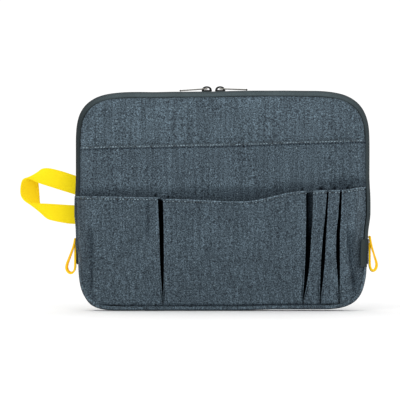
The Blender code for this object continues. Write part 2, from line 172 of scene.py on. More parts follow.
class OrganizerSizes(bpy.types.PropertyGroup):
    """Sizes of the sewn and moulded detail"""

    stitch_pitch: FloatProperty(
        name="Stitch Pitch", description="Distance from one stitch to the next",
        default=0.0031, min=0.001, unit="LENGTH")
    stitch_length: FloatProperty(
        name="Stitch Length", description="Length of thread that shows in one stitch",
        default=0.0023, min=0.0005, unit="LENGTH")
    thread_width: FloatProperty(
        name="Thread Width", description="Width of the sewing thread",
        default=0.0012, min=0.0002, unit="LENGTH")
    coil_pitch: FloatProperty(
        name="Coil Pitch", description="Distance between neighbouring turns of one zip coil",
        default=0.0015, min=0.001, unit="LENGTH")
    panel_crown: FloatProperty(
        name="Panel Crown", description="How far the padded panels may swell at their middle",
        default=0.0022, min=0.0, unit="LENGTH")
    wrinkle: FloatProperty(
        name="Wrinkle", description="Height of the soft unevenness of the denim",
        default=0.0005, min=0.0, unit="LENGTH")
    hem_drop: FloatProperty(
        name="Hem Drop", description="Distance from a pocket's mouth to its stitches",
        default=0.0024, min=0.001, unit="LENGTH")
    swell_frames: IntProperty(
        name="Swell Frames", description="Frames for which the padded panels are simulated",
        default=16, min=2, max=60)


class OrganizerColours(bpy.types.PropertyGroup):
    """Base colours of the finishes"""

    denim: FloatVectorProperty(
        name="Denim", description="Middle colour of the slate denim",
        subtype="COLOR", default=(0.0605, 0.0865, 0.1070), min=0.0, max=1.0)
    band: FloatVectorProperty(
        name="Band", description="Dark green-grey fabric round the zip",
        subtype="COLOR", default=(0.050, 0.067, 0.073), min=0.0, max=1.0)
    tape: FloatVectorProperty(
        name="Tape", description="Near-black woven tape of the zip, tabs and label",
        subtype="COLOR", default=(0.030, 0.040, 0.041), min=0.0, max=1.0)
    lining: FloatVectorProperty(
        name="Lining", description="Charcoal lining inside the case",
        subtype="COLOR", default=(0.045, 0.050, 0.055), min=0.0, max=1.0)
    foam: FloatVectorProperty(
        name="Foam", description="Pale closed-cell foam in the panels",
        subtype="COLOR", default=(0.55, 0.55, 0.52), min=0.0, max=1.0)
    webbing: FloatVectorProperty(
        name="Webbing", description="Bright yellow webbing of the hand strap",
        subtype="COLOR", default=(1.0, 0.800, 0.010), min=0.0, max=1.0)
    loop: FloatVectorProperty(
        name="Loop Tape", description="Golden tape of the side loops",
        subtype="COLOR", default=(1.0, 0.640, 0.010), min=0.0, max=1.0)
    thread: FloatVectorProperty(
        name="Thread", description="Pale sewing thread on the denim",
        subtype="COLOR", default=(0.230, 0.310, 0.360), min=0.0, max=1.0)
    metal: FloatVectorProperty(
        name="Gunmetal", description="Dark metal of the zip sliders",
        subtype="COLOR", default=(0.012, 0.013, 0.013), min=0.0, max=1.0)
    puller: FloatVectorProperty(
        name="Puller", description="Greyed metal of the pull tabs",
        subtype="COLOR", default=(0.240, 0.235, 0.210), min=0.0, max=1.0)


class OrganizerStage(bpy.types.PropertyGroup):
    """Camera and studio"""

    distance: FloatProperty(
        name="Distance", description="Camera distance from the middle of the case",
        default=2.3480, min=0.2, unit="LENGTH")
    lens: FloatProperty(
        name="Lens", description="Focal length of the camera in millimetres", default=200.0, min=20.0)
    aim_x: FloatProperty(
        name="Aim X", description="Where the camera looks along X", default=-0.0237, unit="LENGTH")
    aim_z: FloatProperty(
        name="Aim Z", description="Height that the camera looks at", default=0.1165, unit="LENGTH")
    surround: FloatProperty(
        name="Surround", description="Brightness of the white surround", default=1.08, min=0.0)
    key: FloatProperty(
        name="Key", description="Power of the large softbox", default=2.4, min=0.0, unit="POWER")
    fill: FloatProperty(
        name="Fill", description="Power of the fill light", default=0.6, min=0.0, unit="POWER")


def sizes():
    return bpy.context.scene.organizer_sizes


def colours():
    return bpy.context.scene.organizer_colours


# ---- shapes and formulas shared by the pieces

def smoothstep(value):
    value = min(max(value, 0.0), 1.0)
    return value * value * (3.0 - 2.0 * value)


def mix(a, b, share):
    return a + (b - a) * share


def bump(value):
    """A smooth hill: 1 at 0 and 0 from -1 and 1 outwards."""
    return (1.0 - min(abs(value), 1.0) ** 2) ** 2


def spline(points, share):
    """A point on the smooth curve through the given points, share being 0 to 1 along them."""
    place = share * (len(points) - 1)
    index = min(int(place), len(points) - 2)
    t = place - index
    before = points[max(index - 1, 0)]
    after = points[min(index + 2, len(points) - 1)]
    result = []
    for a, b, c, d in zip(before, points[index], points[index + 1], after):
        result.append(0.5 * (2 * b + (c - a) * t + (2 * a - 5 * b + 4 * c - d) * t * t
                             + (3 * b - a - 3 * c + d) * t ** 3))
    return result


def corner(side, level, steps):
    """Stations round one corner, evenly spaced, from the side to the top or base."""
    reach_x, reach_z = TOP_REACH if level > 0 else BOTTOM_REACH
    centre_x = side * (HALF_WIDTH - reach_x)
    centre_z = HEIGHT - reach_z if level > 0 else reach_z
    turn = 0.5 ** (1.0 / CORNER_POWER)
    half = steps // 2
    shares = [(None, turn * i / half) for i in range(half + 1)]
    shares += [(turn * i / half, None) for i in range(half - 1, -1, -1)]
    stations = []
    for across, along in shares:
        if across is None:
            across = (1.0 - along ** CORNER_POWER) ** (1.0 / CORNER_POWER)
        if along is None:
            along = (1.0 - across ** CORNER_POWER) ** (1.0 / CORNER_POWER)
        stations.append((centre_x, centre_z, reach_x, reach_z, side * across, level * along))
    return stations


def between(first, second, steps):
    """Stations on the straight run between two stations, without its ends."""
    run = []
    for step in range(1, steps):
        run.append(tuple(mix(a, b, step / steps) for a, b in zip(first, second)))
    return run


def upper_track():
    """Stations of the zip: up the left side, over the top and down the right side."""
    left = corner(-1, 1, 28)
    right = corner(1, 1, 28)[::-1]
    reach_x, reach_z = TOP_REACH
    ends = [(side * (HALF_WIDTH - reach_x), ZIP_START, reach_x, reach_z, side, 0.0)
            for side in (-1, 1)]
    track = [ends[0]] + between(ends[0], left[0], 24) + left
    track += between(left[-1], right[0], 40) + right
    return track + between(right[-1], ends[1], 24) + [ends[1]]


def lower_track():
    left = corner(-1, -1, 24)
    right = corner(1, -1, 24)[::-1]
    return left + between(left[-1], right[0], 44) + right


def on_outline(station, inset):
    """Where a station lies once the outline is drawn in by inset, as (x, z)."""
    centre_x, centre_z, reach_x, reach_z, across, along = station
    return centre_x + across * (reach_x - inset * SIDE_SHARE), centre_z + along * (reach_z - inset)


def half_width(z, inset, side_share=SIDE_SHARE):
    """Half the width of the case at a height, with its outline drawn in by inset."""
    reach_x, reach_z = BOTTOM_REACH
    past = reach_z - z
    if z > HEIGHT / 2:
        reach_x, reach_z = TOP_REACH
        past = z - (HEIGHT - reach_z)
    past = min(max(past, 0.0) / (reach_z - inset), 1.0)
    curve = (1.0 - past ** CORNER_POWER) ** (1.0 / CORNER_POWER)
    return HALF_WIDTH - reach_x + (reach_x - inset * side_share) * curve


def settle(point):
    """The case isn't quite true: its sides draw in low down and its top edge is uneven."""
    x, y, z = point
    side = 1.0 if x > 0 else -1.0
    out = min(abs(x) / HALF_WIDTH, 1.0) ** 3
    pull = 0.0023 * bump((z - 0.046) / 0.044) - 0.0011 * bump((z - 0.106) / 0.036)
    pull += 0.0010 * bump((z - 0.086) / 0.016)
    if side > 0:
        pull += 0.0012 * bump((z - 0.012) / 0.030) + 0.0008 * bump((z - 0.070) / 0.030)
        pull += 0.0002 * bump((z - 0.198) / 0.026)
    else:
        pull += 0.0004 * smoothstep((z - 0.080) / 0.020) - 0.0028 * bump((z - 0.001) / 0.012)
    rise = 0.0010 * bump((x - 0.055) / 0.080) - 0.0005 * bump((x + 0.075) / 0.060)
    rise -= 0.0008 * bump((x + 0.122) / 0.042)
    up = smoothstep((z - 0.190) / 0.035)
    lift = 0.0012 * smoothstep((x - 0.010) / 0.050) + 0.0005 * smoothstep((x - 0.105) / 0.025)
    lift *= 1.0 - smoothstep(z / 0.022)
    return (x - side * pull * out, y, z + rise * up + lift)


def ripple(x, z, seed, size):
    """Soft unevenness of cloth, from -1 to 1, with bumps of about the given size."""
    return noise.noise(Vector((x / size, seed, z / size)))


# ---- modelling helpers

def deselect():
    bpy.ops.object.select_all(action="DESELECT")
    bpy.context.view_layer.objects.active = None


def activate(obj):
    deselect()
    obj.select_set(True)
    bpy.context.view_layer.objects.active = obj


def apply_modifiers(obj):
    activate(obj)
    for modifier in list(obj.modifiers):
        bpy.ops.object.modifier_apply(modifier=modifier.name)


def name_piece(obj, name):
    obj.name = name
    obj.data.name = name
    return obj


def grid(name, columns, rows, place):
    """A grid primitive whose points go where place(u, v) says, with a painted shade for each, kept in
    its shade attribute; above 1 it is painted light.
    """
    deselect()
    bpy.ops.mesh.primitive_grid_add(x_subdivisions=columns, y_subdivisions=rows, size=1.0)
    obj = name_piece(bpy.context.object, name)
    shades = []
    for vertex in obj.data.vertices:
        result = place(vertex.co.x + 0.5, vertex.co.y + 0.5)
        vertex.co = result[:3]
        shades.append(result[3] if len(result) > 3 else 1.0)
    attribute = obj.data.attributes.new("shade", "FLOAT", "POINT")
    attribute.data.foreach_set("value", shades)
    return obj


def wall(obj, thickness, offset=-1.0, edge=0.3):
    """Give a sheet its thickness and round its cut edges."""
    solid = obj.modifiers.new("wall", "SOLIDIFY")
    solid.thickness = thickness
    solid.offset = offset
    solid.use_even_offset = False
    if edge:
        rim = obj.modifiers.new("rim", "BEVEL")
        rim.width = thickness * edge
        rim.segments = 2
        rim.limit_method = "ANGLE"
        rim.angle_limit = math.radians(80)
        rim.use_clamp_overlap = True
    apply_modifiers(obj)
    return obj


def smooth(obj, degrees):
    activate(obj)
    bpy.ops.object.shade_smooth_by_angle(angle=math.radians(degrees))
    return obj


def settle_piece(obj):
    for vertex in obj.data.vertices:
        vertex.co = settle(vertex.co)
    return obj


def dress(obj, material, body=None):
    """Finish a piece: its material and the body that carries it."""
    obj.data.materials.clear()
    obj.data.materials.append(material)
    if body is not None:
        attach(obj, body)
    return obj


def freeze(obj):
    """Put the object's place into its mesh."""
    activate(obj)
    bpy.ops.object.transform_apply(location=True, rotation=True, scale=True)
    return obj


def joined(name, objects):
    deselect()
    for obj in objects:
        obj.select_set(True)
    bpy.context.view_layer.objects.active = objects[0]
    bpy.ops.object.join()
    return name_piece(bpy.context.object, name)


def repeated(name, pattern, places):
    """One mesh that holds a copy of the pattern at each place, and removes the pattern."""
    source = pattern.data
    verts = []
    faces = []
    for place in places:
        start = len(verts)
        verts += [place @ vertex.co for vertex in source.vertices]
        faces += [[start + index for index in polygon.vertices] for polygon in source.polygons]
    mesh = bpy.data.meshes.new(name)
    mesh.from_pydata(verts, [], faces)
    obj = bpy.data.objects.new(name, mesh)
    bpy.context.collection.objects.link(obj)
    bpy.data.objects.remove(pattern)
    return obj


def thread_pattern():
    deselect()
    bpy.ops.mesh.primitive_uv_sphere_add(segments=6, ring_count=4, radius=0.5)
    obj = bpy.context.object
    obj.rotation_euler = (0.0, math.radians(90), 0.0)
    freeze(obj)
    width = sizes().thread_width
    obj.scale = (sizes().stitch_length, width, width * 0.8)
    return freeze(obj)


def stitch_places(route, pitch):
    """Places for stitches along a route of (point, normal) pairs."""
    places = []
    carried = pitch / 2
    for (start, normal), (end, _) in zip(route, route[1:]):
        start = Vector(start)
        run = Vector(end) - start
        length = run.length
        if length < 1e-7:
            continue
        along = run / length
        up = Vector(normal)
        up = (up - along * up.dot(along)).normalized()
        side = up.cross(along)
        while carried < length:
            wobble = 0.06 * noise.noise((start + along * carried) * 900.0)
            place = Matrix((along + side * wobble, side, up)).transposed().to_4x4()
            place.translation = start + along * carried
            places.append(place)
            carried += pitch
        carried -= length
    return places


def stitches(name, routes, material, body):
    """Rows of thread along routes of (point, normal)."""
    places = []
    for route in routes:
        places += stitch_places(route, sizes().stitch_pitch)
    obj = smooth(repeated(name, thread_pattern(), places), ALL_ROUND)
    return dress(obj, material, body)


# ---- materials

class Nodes:
    """Builds one material's nodes with short calls."""

    def __init__(self, name):
        self.material = bpy.data.materials.new(name)
        self.material.use_nodes = True
        self.tree = self.material.node_tree
        self.shader = self.tree.nodes["Principled BSDF"]

    def add(self, kind, **settings):
        node = self.tree.nodes.new(kind)
        for key, value in settings.items():
            setattr(node, key, value)
        return node

    def link(self, source, target):
        self.tree.links.new(source, target)

    def coordinates(self, scale=(1.0, 1.0, 1.0), turn=(0.0, 0.0, 0.0), kind="Object"):
        place = self.add("ShaderNodeTexCoord")
        mapping = self.add("ShaderNodeMapping")
        mapping.inputs["Scale"].default_value = scale
        mapping.inputs["Rotation"].default_value = turn
        self.link(place.outputs[kind], mapping.inputs["Vector"])
        return mapping.outputs["Vector"]

    def noise(self, vector, scale, detail=2.0, roughness=0.5):
        node = self.add("ShaderNodeTexNoise")
        node.inputs["Scale"].default_value = scale
        node.inputs["Detail"].default_value = detail
        node.inputs["Roughness"].default_value = roughness
        self.link(vector, node.inputs["Vector"])
        return node.outputs["Fac"]

    def wave(self, vector, scale, direction="X", distortion=0.0):
        node = self.add("ShaderNodeTexWave", bands_direction=direction)
        node.inputs["Scale"].default_value = scale
        node.inputs["Distortion"].default_value = distortion
        node.inputs["Detail"].default_value = 0.0
        self.link(vector, node.inputs["Vector"])
        return node.outputs["Fac"]

    def span(self, value, low, high, to_low, to_high):
        node = self.add("ShaderNodeMapRange")
        node.inputs["From Min"].default_value = low
        node.inputs["From Max"].default_value = high
        node.inputs["To Min"].default_value = to_low
        node.inputs["To Max"].default_value = to_high
        self.link(value, node.inputs["Value"])
        return node.outputs["Result"]

    def maths(self, operation, first, second):
        node = self.add("ShaderNodeMath", operation=operation)
        for socket, value in zip(node.inputs, (first, second)):
            if isinstance(value, (int, float)):
                socket.default_value = value
            else:
                self.link(value, socket)
        return node.outputs["Value"]

    def product(self, *values):
        result = values[0]
        for value in values[1:]:
            result = self.maths("MULTIPLY", result, value)
        return result

    def tint(self, colour, factor):
        """The colour multiplied by a varying factor."""
        node = self.add("ShaderNodeVectorMath", operation="SCALE")
        node.inputs[0].default_value = colour
        self.link(factor, node.inputs["Scale"])
        return node.outputs["Vector"]

    def blend_colours(self, factor, first, second):
        node = self.add("ShaderNodeMix", data_type="RGBA")
        self.link(factor, node.inputs["Factor"])
        for socket, value in ((node.inputs[6], first), (node.inputs[7], second)):
            if isinstance(value, bpy.types.NodeSocket):
                self.link(value, socket)
            else:
                socket.default_value = (*value, 1.0)
        return node.outputs[2]

    def attribute(self, name):
        node = self.add("ShaderNodeAttribute", attribute_name=name)
        return node.outputs["Fac"]

    def relief(self, height, distance):
        node = self.add("ShaderNodeBump")
        node.inputs["Distance"].default_value = distance
        self.link(height, node.inputs["Height"])
        self.link(node.outputs["Normal"], self.shader.inputs["Normal"])

    def colour(self, source):
        self.link(source, self.shader.inputs["Base Color"])

    def finish(self, roughness, metallic=0.0, sheen=0.0, sheen_roughness=0.5, specular=0.3):
        inputs = self.shader.inputs
        inputs["Roughness"].default_value = roughness
        inputs["Metallic"].default_value = metallic
        inputs["Sheen Weight"].default_value = sheen
        inputs["Sheen Roughness"].default_value = sheen_roughness
        inputs["Specular IOR Level"].default_value = specular
        return self.material


def made_once(build):
    """Keep one copy of each material, under the builder function's name."""
    def find():
        name = f"organizer_{build.__name__}"
        return bpy.data.materials.get(name) or build(Nodes(name))
    return find


@made_once
def slate_denim(n):
    """Salt-and-pepper denim: speckle, upright slubs, a fine twill and a few pale knots, its colour
    scaled by the painted light and shade of the shade attribute.
    """
    plain = n.coordinates()
    speckle = n.span(n.noise(plain, 760.0, 1.0, 0.6), 0.32, 0.68, 0.32, 1.74)
    grains = n.span(n.noise(plain, 1300.0, 0.0), 0.30, 0.70, 0.58, 1.46)
    upright = n.span(n.noise(n.coordinates((400.0, 400.0, 16.0)), 1.0, 2.0), 0.34, 0.66, 0.78, 1.22)
    level = n.span(n.noise(n.coordinates((24.0, 24.0, 520.0)), 1.0, 1.0), 0.34, 0.66, 0.94, 1.06)
    clouds = n.span(n.noise(plain, 26.0, 3.0), 0.30, 0.70, 0.93, 1.07)
    twill = n.wave(n.coordinates((1.0, 0.6, 1.0), (0.0, math.radians(34), 0.0)), 330.0)
    ribs = n.span(twill, 0.0, 1.0, 0.88, 1.12)
    knots = n.span(n.noise(n.coordinates((1.0, 1.0, 1.2)), 420.0, 0.0), 0.79, 0.85, 0.0, 0.85)
    shade = n.attribute("shade")
    factor = n.product(speckle, grains, upright, level, clouds, ribs, shade)
    cloth = n.blend_colours(n.span(factor, 0.0, 0.9, 1.0, 0.0), n.tint(colours().denim, factor),
                            n.tint((0.0560, 0.0850, 0.1180), factor))
    pale = n.tint((0.20, 0.27, 0.31), shade)
    n.colour(n.blend_colours(knots, cloth, pale))
    height = n.maths("ADD", n.product(twill, 0.5), n.product(speckle, upright, 0.6))
    n.relief(height, 0.00022)
    # the painted shade also dims the specular and the sheen, so painted black stays black
    n.link(n.product(shade, 0.15), n.shader.inputs["Specular IOR Level"])
    n.link(n.product(shade, 0.10), n.shader.inputs["Sheen Weight"])
    return n.finish(0.92, sheen_roughness=0.6)


@made_once
def band_fabric(n):
    """Dark green-grey plain weave of the band beside the zip, scaled by the painted shade of the shade
    attribute.
    """
    plain = n.coordinates()
    weave = n.product(n.wave(plain, 420.0, "DIAGONAL"), n.wave(plain, 460.0, "Z"))
    speckle = n.span(n.noise(plain, 900.0, 1.0), 0.30, 0.70, 0.86, 1.14)
    clouds = n.span(n.noise(plain, 60.0, 2.0), 0.30, 0.70, 0.92, 1.08)
    threads = n.span(weave, 0.0, 1.0, 0.88, 1.12)
    n.colour(n.tint(colours().band, n.product(speckle, clouds, threads, n.attribute("shade"))))
    n.relief(n.maths("ADD", weave, n.product(speckle, 0.5)), 0.00012)
    return n.finish(0.88, sheen=0.04, sheen_roughness=0.5, specular=0.12)


@made_once
def dark_tape(n):
    """Near-black woven tape with fine cross ribs, scaled by the painted shade of the shade attribute.
    """
    plain = n.coordinates()
    ribs = n.wave(plain, 380.0, "Z", 0.4)
    cross = n.wave(plain, 520.0, "DIAGONAL", 0.3)
    speckle = n.span(n.noise(plain, 1100.0, 1.0), 0.30, 0.70, 0.85, 1.15)
    threads = n.span(n.product(ribs, cross), 0.0, 1.0, 0.86, 1.16)
    n.colour(n.tint(colours().tape, n.product(speckle, threads, n.attribute("shade"))))
    n.relief(n.maths("ADD", ribs, cross), 0.00010)
    return n.finish(0.85, specular=0.12)


@made_once
def hidden_tape(n):
    """The same tape on the seam bindings inside, which carry no shading of their own."""
    plain = n.coordinates()
    ribs = n.wave(plain, 380.0, "DIAGONAL", 0.4)
    speckle = n.span(n.noise(plain, 1100.0, 1.0), 0.30, 0.70, 0.85, 1.15)
    threads = n.span(ribs, 0.0, 1.0, 0.88, 1.12)
    n.colour(n.tint(colours().tape, n.product(speckle, threads)))
    n.relief(ribs, 0.00010)
    return n.finish(0.75, specular=0.25)


@made_once
def charcoal_lining(n):
    """Thin smooth lining with a fine plain weave and soft lustre, scaled by the painted shade of the
    shade attribute.
    """
    plain = n.coordinates()
    warp = n.wave(plain, 700.0, "X", 0.2)
    weft = n.wave(plain, 700.0, "Z", 0.2)
    clouds = n.span(n.noise(plain, 30.0, 3.0), 0.30, 0.70, 0.88, 1.12)
    threads = n.span(n.maths("ADD", warp, weft), 0.0, 2.0, 0.86, 1.14)
    n.colour(n.tint(colours().lining, n.product(clouds, threads, n.attribute("shade"))))
    n.relief(n.maths("ADD", warp, weft), 0.00006)
    return n.finish(0.55, sheen=0.2, sheen_roughness=0.3, specular=0.35)


@made_once
def pale_foam(n):
    """Closed-cell foam with small pores."""
    plain = n.coordinates()
    cells = n.span(n.noise(plain, 1300.0, 1.0), 0.35, 0.60, 0.82, 1.05)
    clouds = n.span(n.noise(plain, 40.0, 2.0), 0.30, 0.70, 0.94, 1.05)
    n.colour(n.tint(colours().foam, n.product(cells, clouds)))
    n.relief(cells, 0.0002)
    return n.finish(0.95, specular=0.15)


@made_once
def coil_nylon(n):
    """Satin nylon of the zip coil."""
    plain = n.coordinates()
    scuffs = n.span(n.noise(plain, 500.0, 2.0), 0.30, 0.70, 0.75, 1.25)
    n.colour(n.tint(colours().tape, n.product(scuffs, 0.8)))
    n.relief(n.noise(plain, 1500.0), 0.00003)
    return n.finish(0.42, specular=0.5)


def woven_strap(n, colour, shade_colour, ribs_across):
    """Webbing: fine cross ribs, selvages along both edges and a little soiling, blended toward the
    shade colour by painted shade between the ribs and by the painted shade of the shade attribute.
    """
    ribs = n.wave(n.coordinates((ribs_across, 1.0, 1.0), kind="UV"), 1.0, "X", 0.15)
    rows = n.wave(n.coordinates((1.0, 20.0, 1.0), kind="UV"), 1.0, "Y", 0.1)
    weave = n.product(ribs, rows)
    speckle = n.span(n.noise(n.coordinates(), 900.0, 1.0), 0.30, 0.70, 0.0, 0.30)
    # painted shade in the hollows between the ribs
    shadow = n.span(weave, 0.0, 0.6, 0.30, 0.0)
    # worn holds the real soiling speckle and the painted shade between the ribs; the piece's own
    # painted shade is added below
    worn = n.maths("ADD", n.product(speckle, 0.25), n.product(shadow, 0.25))
    soil_and_painted_shade = n.maths("ADD", worn, n.maths("SUBTRACT", 1.0, n.attribute("shade")))
    n.colour(n.blend_colours(soil_and_painted_shade, colour, shade_colour))
    n.relief(n.maths("ADD", weave, n.product(rows, 0.4)), 0.00003)
    return n.finish(0.80, specular=0.10)


@made_once
def yellow_webbing(n):
    return woven_strap(n, tuple(colours().webbing), (0.900, 0.470, 0.006), 58.0)


@made_once
def golden_tape(n):
    return woven_strap(n, tuple(colours().loop), (1.0, 0.400, 0.004), 30.0)


@made_once
def pale_thread(n):
    """Twisted sewing thread."""
    plain = n.coordinates()
    twist = n.span(n.wave(plain, 900.0, "DIAGONAL", 0.5), 0.0, 1.0, 0.78, 1.15)
    patchy = n.span(n.noise(plain, 240.0, 2.0), 0.38, 0.62, 0.10, 1.08)
    n.colour(n.tint(colours().thread, n.product(twist, patchy)))
    return n.finish(0.6, sheen=0.1, specular=0.3)


@made_once
def dark_thread(n):
    plain = n.coordinates()
    twist = n.span(n.wave(plain, 900.0, "DIAGONAL", 0.5), 0.0, 1.0, 0.9, 1.5)
    n.colour(n.tint(colours().band, twist))
    return n.finish(0.6, specular=0.3)


@made_once
def gunmetal(n):
    """Dark plated zinc with worn, slightly brighter patches."""
    plain = n.coordinates()
    worn = n.span(n.noise(plain, 420.0, 3.0, 0.65), 0.55, 0.72, 0.0, 0.3)
    n.colour(n.blend_colours(worn, tuple(colours().metal), (0.09, 0.09, 0.086)))
    n.relief(n.noise(plain, 1400.0, 2.0), 0.00004)
    return n.finish(0.50, metallic=0.15, specular=0.25)


@made_once
def puller_metal(n):
    """Brushed, greyed metal of the pull tabs, darker in its scratches."""
    brushed = n.noise(n.coordinates((60.0, 2200.0, 2200.0)), 1.0, 2.0)
    worn = n.span(n.noise(n.coordinates(), 300.0, 3.0, 0.6), 0.35, 0.70, 0.75, 1.15)
    n.colour(n.tint(colours().puller, n.product(n.span(brushed, 0.3, 0.7, 0.85, 1.15), worn)))
    n.relief(brushed, 0.00004)
    return n.finish(0.38, metallic=1.0, specular=0.5)


@made_once
def studio_floor(n):
    faint = n.span(n.noise(n.coordinates(), 3.0, 2.0), 0.3, 0.7, 0.985, 1.0)
    n.colour(n.tint((0.985, 0.985, 0.985), faint))
    return n.finish(0.9, specular=0.1)


# ---- where the cloth of the front lies

def slip_y(x, z):
    """Inner face of the slip pocket, which stands off the cover towards its mouth."""
    across = min(abs(x) / half_width(z, PANEL_INSET), 1.0)
    height = (z - PANEL_INSET) / (SLIP_MOUTH[0] - PANEL_INSET)
    rise = math.sin(math.pi / 2 * min(max(height / SLIP_RISE, 0.0), 1.0))
    return -(PANEL_FACE + SLIP_GAP + SLIP_STAND * (1.0 - across ** 8) * rise)


def slip_mouth_z(x):
    share = (x / HALF_WIDTH + 1.0) / 2
    sag = 0.0004 * bump((x - 0.020) / 0.06) - 0.0004 * bump((x + 0.110) / 0.03)
    return mix(SLIP_MOUTH[0], SLIP_MOUTH[1], share ** 1.15) - sag


def mouth_z(x):
    """Height of the front pockets' mouths: level at the left, sagging, then rising."""
    level = 0.1204 - 0.0012 * smoothstep((x + 0.155) / 0.092)
    sag = 0.0018 * smoothstep((x + 0.0660) / 0.004) + 0.0024 * smoothstep((x + 0.056) / 0.075)
    rise = 0.0108 * smoothstep((x - 0.020) / 0.066) + 0.0010 * smoothstep((x - 0.085) / 0.030)
    end = 0.0034 * smoothstep((x - 0.120) / 0.032)
    return level - sag + rise + end


def pocket_edge(edge, share):
    """Where a pocket's edge runs, share being 0 at the floor and 1 at the mouth."""
    return spline([(x,) for x in edge], min(max(share, 0.0), 1.0))[0]


def crease(x, z):
    """How much painted shade lies in the creases at a place on the pocket fronts; it also sets how
    deep they are.
    """
    total = 0.0
    for top_x, foot_x, low, high, left, right, dark in CREASES:
        along = (z - low) / (high - low)
        if 0.0 < along < 1.0:
            away = x - mix(foot_x, top_x, along)
            away = -away / left if away < 0 else away / right
            ends = smoothstep(along / 0.25) * smoothstep((1.0 - along) / 0.15 + 0.25)
            total += dark * max(1.0 - away, 0.0) ** 1.6 * ends
    return total


def swelling(height, stand):
    """How far a pocket front stands off at a share of its height."""
    return stand * smoothstep(height / 0.45) * (0.6 + 0.4 * height)


def pocket_point(facts, s, height):
    """A point on a pocket's outer face and its painted shade; s is -1 to 1 across and height 0 to 1.
    """
    side = -1 if s < 0 else 1
    slope = facts["slope"][0 if s < 0 else 1]
    left = pocket_edge(facts["left"], height)
    right = pocket_edge(facts["right"], height)
    reach = abs(s)
    tuck = 0.0
    if slope is None:
        over = max(reach - FACE_SHARE, 0.0) / (1.0 - FACE_SHARE)
        across = side * min(reach / FACE_SHARE, 1.0)
        fall = 0.10 * min(reach / FACE_SHARE, 1.0) ** 5 + 0.90 * smoothstep(over)
        tuck = -side * TUCK * math.sin(math.pi / 2 * over) * min(height * 4.0 + 0.1, 1.0)
        # painted shade: black where the tucked edge runs back under the front, with a painted
        # highlight on the fold just before it
        shade = mix(1.0, 0.10, smoothstep(over * 1.6))
        shade *= 1.0 + 0.10 * bump((reach - FACE_SHARE + 0.03) / 0.06)
    else:
        across = s
        fall = smoothstep((reach - slope) / (1.0 - slope))
        # painted shade where a sewn edge slopes away
        shade = 1.0 - 0.12 * fall
    low = FLOOR_INSET
    x = mix(left, right, (across + 1.0) / 2)
    z = low + (mouth_z(x) - low) * height
    limit = half_width(z, mix(PANEL_INSET - 0.0002, -0.0004, smoothstep((z - 0.046) / 0.022)))
    if side < 0 and x < -limit or side > 0 and x > half_width(z, PANEL_INSET):
        x = -limit if side < 0 else half_width(z, PANEL_INSET)
    x += tuck
    y = slip_y(min(max(x, -0.149), 0.149), z) - CLOTH - POCKET_GAP
    y -= swelling(height, facts["stand"]) * (1.0 - fall)
    y += 0.0050 * smoothstep((abs(x) - 0.1490) / 0.0062)
    return x, y, z, shade


def hem_shade(x, below, strength):
    """Painted light and shade along a hem: a painted highlight in pale roped dashes on its fold and
    painted shade in a dim groove at the thread.
    """
    roping = 0.5 + 0.5 * math.sin(2 * math.pi * x / sizes().stitch_pitch)
    fold = strength * (1.0 - smoothstep((below - 0.0006) / 0.0014)) * (0.5 + roping)
    patchy = 0.6 + 0.8 * max(noise.noise(Vector((x * 55, 8.0, 0.0))) + 0.35, 0.0)
    groove = 0.42 * math.exp(-((below - sizes().hem_drop) / 0.0012) ** 2)
    return (1.0 + fold * patchy) * (1.0 - groove)


def puckers(x, distance, depth, pitch=0.0062):
    """Small pulls of the cloth along a row of stitches, fading away from it."""
    wave = math.sin(x / pitch * 2 * math.pi + 3.0 * noise.noise(Vector((x * 60, 0.3, 0.0))))
    return depth * wave * math.exp(-(distance / 0.0035) ** 2)


# ---- the pieces

def panel_grid(side):
    """place(u, v) on the foam's face, in rows that follow the outline of one panel."""
    low = PANEL_INSET
    high = HEIGHT - PANEL_INSET

    def place(u, v):
        z = (low + high) / 2 - math.cos(math.pi * v) * (high - low) / 2
        z = mix(z, mix(low, high, v), 0.35)
        x = (2 * u - 1) * half_width(z, PANEL_INSET) * -side
        return x, side * PANEL_BACK, z
    return place


def padded_panel(name, side):
    """A closed shell over the foam, pinned at its rim and swollen by pressure."""
    obj = grid(name, 64, 48, panel_grid(side))
    rim = edge_vertices(obj)
    count = len(obj.data.vertices)
    shell = obj.modifiers.new("shell", "SOLIDIFY")
    shell.thickness = PANEL_FACE - PANEL_BACK
    shell.offset = 1.0
    apply_modifiers(obj)
    middle = (PANEL_FACE + PANEL_BACK) / 2
    pinned = []
    for vertex in obj.data.vertices:
        inner = abs(vertex.co.y) < middle
        if inner or vertex.index % count in rim:
            pinned.append(vertex.index)
    rest = [vertex.co.copy() for vertex in obj.data.vertices]
    crown = sizes().panel_crown
    swell_by_pressure(obj, side, rest, pinned, crown)
    finer = obj.modifiers.new("finer", "SUBSURF")
    finer.levels = 1
    finer.render_levels = 1
    apply_modifiers(obj)
    for vertex in obj.data.vertices:
        x, y, z = vertex.co
        if abs(y) > middle:
            edge = min(half_width(z, PANEL_INSET) - abs(x), z - PANEL_INSET, HEIGHT - PANEL_INSET - z)
            dip = 0.0011 * math.exp(-(max(edge, 0.0) / 0.0022) ** 2)
            lift = sizes().wrinkle * ripple(x, z, 4.0 + side, 0.035) * smoothstep(edge / 0.01)
            lift += puckers(x + z, edge, 0.00022)
            vertex.co.y = y + side * (lift - dip)
            if side < 0:
                # painted light on the front panel just above the slip pocket's mouth, against the
                # shade that the mouth casts there
                painted_light_above_slip = bump((z - slip_mouth_z(x) - 0.0010) / 0.0045)
                obj.data.attributes["shade"].data[vertex.index].value = 1.0 + 0.16 * painted_light_above_slip
    return obj


def edge_vertices(obj):
    """Indices of the points on the open edge of a sheet."""
    used = {}
    for polygon in obj.data.polygons:
        for key in polygon.edge_keys:
            used[key] = used.get(key, 0) + 1
    return {index for key, count in used.items() if count == 1 for index in key}


